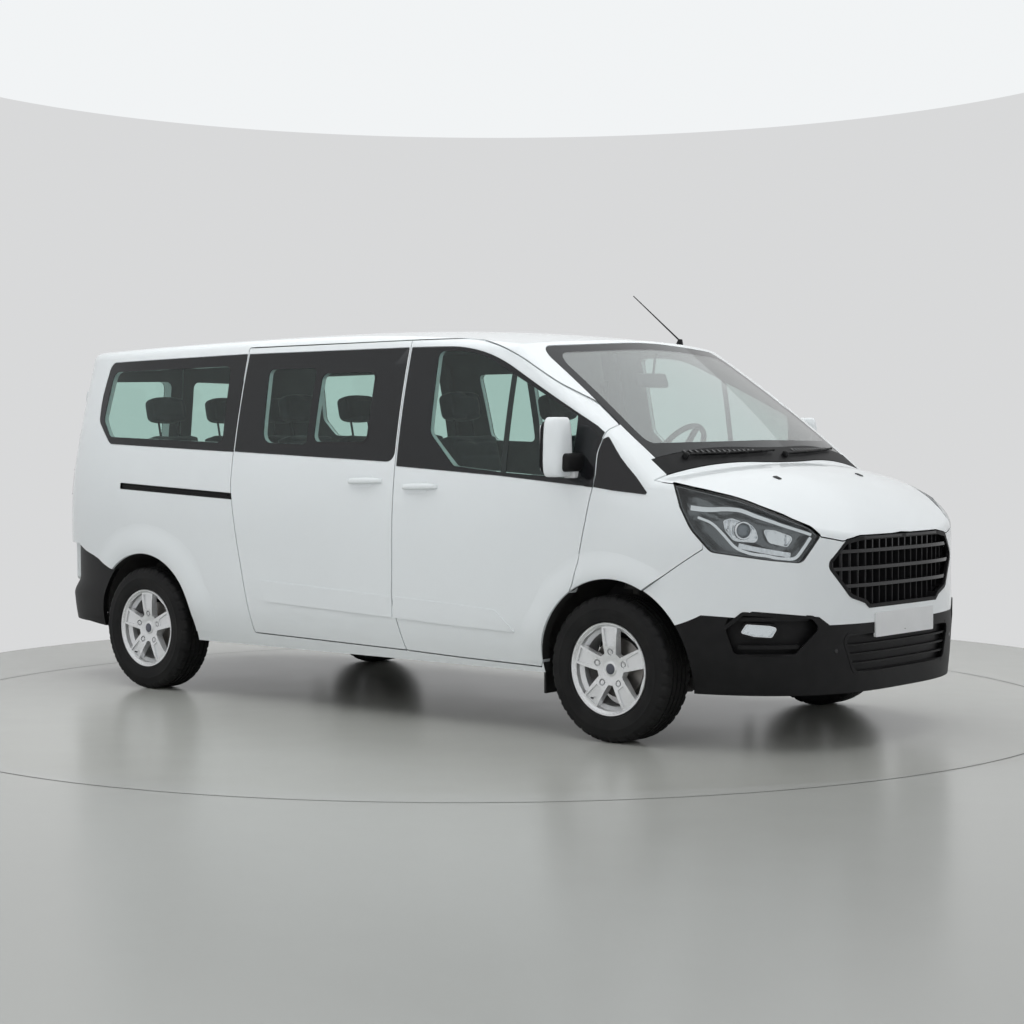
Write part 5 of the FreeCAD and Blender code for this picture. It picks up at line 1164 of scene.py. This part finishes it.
DIVIDER = (1010.0, 1042.0)


def add_window_divider(side, place, left):
    """The upright bar in a front door's window."""
    bar = [(p.x, p.y) for p in clipped(rounded(FRONT_CLEAR, 6), *DIVIDER)]
    piece(f"window_divider_{side}", glass_border, f"front_door_{side}_body", "gloss_black", laid(bar, place, -1, 4))


# Cabin: dashboard, pillars and belts

WHEEL_PAD = [(0.0, 0.022), (0.04, 0.020), (0.066, 0.010), (0.072, -0.004), (0.070, -0.020), (0.0, -0.020)]
BELT_STEPS = 12


def add_dashboard():
    for name, material, slot, *steps in (
            ("instrument_hood", interior_plastic, "interior_plastic",
             block((0.16, 0.40, 0.075), at(1.270, 0.40, 1.290, -12), 0.022, 3)),
            ("dash_displays", gloss_black, "gloss_black",
             block((0.006, 0.34, 0.060), at(1.190, 0.40, 1.288, -12), 0.004),
             block((0.010, 0.22, 0.13), at(1.203, -0.02, 1.245, -10), 0.005)),
            ("dash_vents", gloss_black, "interior_plastic",
             *(block((0.012, 0.13, 0.004), at(1.208, y, 1.150 + 0.013 * k), 0.001)
               for y in (-0.76, -0.30, 0.14, 0.72) for k in range(5))),
            ("screen_vents", interior_plastic, "interior_plastic",
             *(block((0.10, 0.006, 0.004), at(1.60, y + 0.012 * k - 0.03, 1.2425), 0.001)
               for y in (-0.80, 0.80) for k in range(6))),
            ("steering_pad", interior_plastic, "interior_plastic",
             turned(WHEEL_PAD, at(1.071, 0.400, 1.324, -55), 40)),
            ("inside_mirror", interior_plastic, "interior_plastic",
             block((0.030, 0.24, 0.075), at(1.195, 0.0, 1.700, -20), 0.012, 3),
             tube([Vector((1.205, 0.0, 1.735)), Vector((1.212, 0.0, 1.790)), Vector((1.222, 0.0, 1.836))], 0.007))):
        piece(name, material, "root", slot, *steps)


def pillar_trim(name, x, half, y_inset, side, z_low, z_high):
    """A pillar cover inside the wall, leaning in with the body."""
    rings = []
    for z in (z_low + (z_high - z_low) * k / 14 for k in range(15)):
        out = side_width(z) - y_inset
        rings.append([Vector((x + du, side * (out - dv), z)) * MM
                      for du, dv in ((-half, 0), (-half + 8, 26), (half - 8, 26), (half, 0))])
    piece(name, trim_grey, "root", "interior_plastic", shell(rings), sharp=50)


def add_belts():
    belts = []
    for side in (-1, 1):
        line = [Vector((262 + 10 * share, side * (side_width(620 + 1060 * share) - 108), 620 + 1060 * share)) * MM
                for share in (k / BELT_STEPS for k in range(BELT_STEPS + 1))]
        for a, b in zip(line, line[1:]):
            turn = (b - a).to_track_quat("Z", "X").to_matrix().to_4x4() @ Matrix.Rotation(math.pi / 2, 4, "Z")
            size = (0.0022, 0.046, (b - a).length * 1.02)
            belts.append(block(size, Matrix.Translation((a + b) / 2) @ turn, 0.0005, 1))
        belts.append(block((0.05, 0.020, 0.075), at(0.272, side * (side_width(1690) - 104) * MM, 1.69), 0.006))
    piece("seat_belts", belt_webbing, "root", "seat_fabric", *belts)
    for side, hand in SIDES.items():
        pillar_trim(f"rear_pillar_trim_{side}", -960, 44, 62, hand, 1240, 1850)


# Seats

# Each seat's x, y, width and the width of its base, in mm
ROWS = {"front_seats": [(640.0, -400.0, 470.0, 360.0), (640.0, 400.0, 470.0, 360.0)],
        "rear_seats": [(x, y, 440.0, 300.0) for x in (-520.0, -1660.0) for y in (-460.0, 0.0, 460.0)]}
SEAT_LEAN = -12
PAD_WIDTH = 470
SWELL_CAP = 0.014
VOXEL = 0.012
# Each pad's size, crown, waist, taper, corner softness, seam lines and border
PADS = {
    "cushion": ((0.470, 0.480, 0.112), 0.012, 0.05, 0.0, 0.05, (-0.11, 0.02, 0.13), 0.062),
    "back": ((0.470, 0.600, 0.108), 0.012, 0.05, 0.10, 0.05, (-0.16, 0.0, 0.16), 0.062),
    "rest": ((0.268, 0.152, 0.088), 0.006, 0.03, 0.0, 0.13, (), 0.030),
}
CLOTH = {"quality": 5, "mass": 0.3, "tension_stiffness": 20, "compression_stiffness": 10, "bending_stiffness": 2,
         "use_pressure": True, "uniform_pressure_force": 4.0}


def pad_form(size, crown, waist, taper, corner):
    """A closed soft block about the origin: its big faces bulge and its sides pull in between the corners."""
    bm = bmesh.new()
    bmesh.ops.create_cube(bm, size=1.0)
    bmesh.ops.subdivide_edges(bm, edges=bm.edges[:], cuts=9, use_grid_fill=True)
    for vert in bm.verts:
        u, v, w = vert.co * 2
        full = (1 - abs(u) ** 4) * (1 - abs(v) ** 4)
        pull = waist * (1 - u * u) * (abs(v) ** 6) + waist * (1 - v * v) * (abs(u) ** 6)
        narrow = 1 - taper * (v + 1) / 2
        vert.co = Vector((u * size[0] / 2 * narrow * (1 - pull * abs(u) ** 3) * (1 - corner * v ** 4),
                          v * size[1] / 2 * (1 - pull * abs(v) ** 3) * (1 - corner * u ** 4),
                          w * size[2] / 2 * (0.80 + 0.20 * full) + math.copysign(crown * full, w) * abs(w)))
    bmesh.ops.smooth_vert(bm, verts=bm.verts[:], factor=0.5, use_axis_x=True, use_axis_y=True, use_axis_z=True)
    return mesh_of(bm, "pad")


def swollen(mesh):
    """The mesh remeshed and blown up a little by a cloth simulation, each point moved by no more than the cap."""
    item = bpy.data.objects.new("swelling", mesh)
    scene.collection.objects.link(item)
    remesh = item.modifiers.new("remesh", "REMESH")
    remesh.mode = "VOXEL"
    remesh.voxel_size = VOXEL
    fine = evaluated(item)
    item.modifiers.clear()
    item.data = fine
    start = [vert.co.copy() for vert in fine.vertices]
    cloth = item.modifiers.new("cloth", "CLOTH")
    for key, value in CLOTH.items():
        setattr(cloth.settings, key, value)
    cloth.settings.effector_weights.gravity = 0.0
    for frame_number in range(1, 21):
        scene.frame_set(frame_number)
    result = evaluated(item)
    bpy.data.objects.remove(item)
    for vert, before in zip(result.vertices, start):
        move = vert.co - before
        if move.length > SWELL_CAP:
            vert.co = before + move * (SWELL_CAP / move.length)
    scene.frame_set(1)
    return result


def sew(mesh, size, lines, border):
    """Presses sewn channels into the pad's two big faces: lines are v values, border a frame seam's inset."""
    frame_u, frame_v = size[0] / 2 - border, size[1] / 2 - border
    for vert in mesh.vertices:
        u, v, w = vert.co
        depth = 0.0
        if abs(u) < frame_u:
            depth += sum(0.0065 * math.exp(-((v - line) / 0.0055) ** 2) for line in lines)
        for off, other, limit in ((abs(u) - frame_u, abs(v), frame_v), (abs(v) - frame_v, abs(u), frame_u)):
            if other < limit + 0.004:
                depth += 0.0070 * math.exp(-(off / 0.0060) ** 2)
        if abs(w) > size[2] * 0.25:
            vert.co.z -= math.copysign(min(depth, 0.009), w)


def seat_pads():
    """The three pads that all seats share, each simulated once."""
    pads = {}
    for name, (size, *form, lines, border) in PADS.items():
        pads[name] = swollen(pad_form(size, *form))
        sew(pads[name], size, lines, border)
    return pads


def add_seat(pads, node_name, number, x, y, width, base):
    """Three pads on a plain base with the posts of the head restraint."""
    foot = at((x - 290) * MM, y * MM, 0.820, SEAT_LEAN)
    x, y = x * MM, y * MM
    upright = Matrix(((0, 0, 1, 0), (1, 0, 0, 0), (0, 1, 0, 0), (0, 0, 0, 1)))
    spots = {"cushion": at(x, y, 0.866) @ Matrix.Rotation(math.pi / 2, 4, "Z"),
             "back": foot @ at(0.065, 0, 0.322) @ upright,
             "rest": foot @ at(0.055, 0, 0.760) @ upright}
    made = []
    for kind, matrix in spots.items():
        mesh = pads[kind].copy()
        share = (width - 12) / PAD_WIDTH if kind != "rest" else 1.0
        mesh.transform(matrix @ Matrix.Diagonal((share, 1.0, 1.0, 1.0)))
        item = add_object(mesh, f"{node_name}_{kind}_{number}", seat_fabric, "root", "seat_fabric", 180)
        soften = item.modifiers.new("soften", "SUBSURF")
        soften.levels = soften.render_levels = 1
        made.append(item)
    steps = [block((0.36, base * MM - 0.02, 0.236), at(x, y, 0.6805), 0.014, 3),
             block((0.46, (width - 30) * MM, 0.016), at(x, y, 0.8065), 0.006)]
    for side in (-1, 1):
        steps += [tube([foot @ Vector((0.055, side * 0.07, height)) for height in (0.600, 0.720)], 0.0065, 12),
                  block((0.10, 0.016, 0.12), at(x - 0.225, y + side * (width / 2 - 10) * MM, 0.860), 0.006)]
    made.append(piece(f"{node_name}_base_{number}", interior_plastic, "root", "interior_plastic", *steps))
    return made


def add_seats():
    pads = seat_pads()
    for node_name, seats in ROWS.items():
        made = []
        for number, seat in enumerate(seats):
            made += add_seat(pads, node_name, number, *seat)
        for item in made:
            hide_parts(node_name)


add_glass()
finish_nodes()
add_wheels()
both_sides(add_headlamp, "corner")
both_sides(add_fog_lamp, "corner")
add_front_details()
both_sides(add_rub_strips)
both_sides(add_handles)
both_sides(add_arches)
both_sides(add_side_trim)
add_rear_details()
both_sides(add_tail_lamp)
both_sides(add_mirror)
add_wiper_blades()
add_nose_frames()
both_sides(add_window_divider)
piece("sliding_window_frame", gloss_black, "root", "gloss_black",
      ring_wall(rounded(SLIDING_CLEAR[1], 9), laid_on("side"), 1.5, -2, 10))
add_dashboard()
add_belts()
add_seats()


# Floor, backdrop and lights

FLOOR_HALF = 30
WALL_RADIUS = 3.77
WALL_HEIGHT = 3.64
WALL_MIDDLE = (-0.268, 0.613)
TURNTABLE_RADIUS = 3.06
TURNTABLE_MIDDLE = (0.236, -0.194)
SEAM_HALF = 0.004
SEAM_Z = 0.0006


def stage_object(name, points, faces, material, smooth=False):
    mesh = bpy.data.meshes.new(name)
    mesh.from_pydata(points, [], faces)
    mesh.polygons.foreach_set("use_smooth", [smooth] * len(mesh.polygons))
    item = bpy.data.objects.new(name, mesh)
    scene.collection.objects.link(item)
    give(item, material)
    return item


def one_sided(material):
    """The material shows on its front faces only; from behind it is clear."""
    output = next(item for item in material.node_tree.nodes if item.type == "OUTPUT_MATERIAL")
    shader = output.inputs["Surface"].links[0].from_socket
    place = add_node(material, "ShaderNodeNewGeometry")
    clear = add_node(material, "ShaderNodeBsdfTransparent")
    show_mix(material, (place, "Backfacing"), shader, clear.outputs["BSDF"])


def glowing(name, colour, strength):
    """A surface seen at one brightness by the camera, in mirrors and through glass, that lights nothing else."""
    material = bare_material(name)
    rays = add_node(material, "ShaderNodeLightPath")
    seen = add_node(material, "ShaderNodeMath", [(0, rays, "Is Camera Ray"), (1, rays, "Is Glossy Ray")],
                    operation="MAXIMUM")
    seen = add_node(material, "ShaderNodeMath", [(0, seen, "Value"), (1, rays, "Is Transmission Ray")],
                    operation="MAXIMUM")
    glow = add_node(material, "ShaderNodeEmission", Color=(*colour, 1.0), Strength=strength)
    matt = add_node(material, "ShaderNodeBsdfDiffuse", Color=(*colour, 1.0))
    show_mix(material, (seen, "Value"), matt.outputs["BSDF"], glow.outputs["Emission"])
    one_sided(material)
    return material


def ring_points(middle, radius, z, steps):
    return [(middle[0] + radius * math.cos(a), middle[1] + radius * math.sin(a), z) for a in circle(steps)]


def ring_faces(steps):
    return [(k, steps + k, steps + (k + 1) % steps, (k + 1) % steps) for k in range(steps)]


def add_room():
    floor_look = textured("floor", (0.425, 0.430, 0.405), 0.25, 3.0, 0.008, second=(0.475, 0.480, 0.453), spread=0.03)
    half = FLOOR_HALF
    floor = stage_object("floor_plane", [(-half, -half, 0), (half, -half, 0), (half, half, 0), (-half, half, 0)],
                         [(0, 1, 2, 3)], floor_look)
    steps = 128
    foot, top = (ring_points(WALL_MIDDLE, WALL_RADIUS, z, steps) for z in (0.0, WALL_HEIGHT))
    wall = stage_object("backdrop", foot + top, ring_faces(steps), glowing("wall", (0.74, 0.745, 0.75), 0.93),
                        smooth=True)
    ceiling = stage_object("ceiling_panel", top, [tuple(range(steps))[::-1]],
                           glowing("ceiling", (0.93, 0.95, 0.96), 0.95))
    for item in (wall, ceiling):
        item.visible_shadow = False
    steps = 192
    inner, outer = (ring_points(TURNTABLE_MIDDLE, TURNTABLE_RADIUS + out, SEAM_Z, steps)
                    for out in (-SEAM_HALF, SEAM_HALF))
    seam_look = textured("floor_seam", (0.035, 0.034, 0.033), 0.6, 30.0, 0.02)
    seam = stage_object("floor_seam", inner + outer, ring_faces(steps), seam_look)


def add_light(name, place, target, size, power):
    data = bpy.data.lights.new(name, "AREA")
    data.shape = "RECTANGLE"
    data.size, data.size_y = size
    data.energy = power
    light = bpy.data.objects.new(name, data)
    scene.collection.objects.link(light)
    light.location = place
    light.rotation_euler = (Vector(target) - Vector(place)).to_track_quat("-Z", "Y").to_euler()
    light.visible_camera = light.visible_glossy = light.visible_transmission = False


add_room()
add_light("ceiling", (0, 0, 3.6), (0, 0, 0), (7, 7), 172)
add_light("side", (3, -9, 3.0), (0, 0, 1), (9, 4), 190)
add_light("front", (9, -1, 2.6), (0, 0, 1), (7, 4), 95)
world = bpy.data.worlds.new("world")
scene.world = world
world.use_nodes = True
world.node_tree.nodes["Background"].inputs["Color"].default_value = (0.88, 0.92, 0.97, 1.0)
world.node_tree.nodes["Background"].inputs["Strength"].default_value = 0.40

scene.view_settings.view_transform = "Standard"
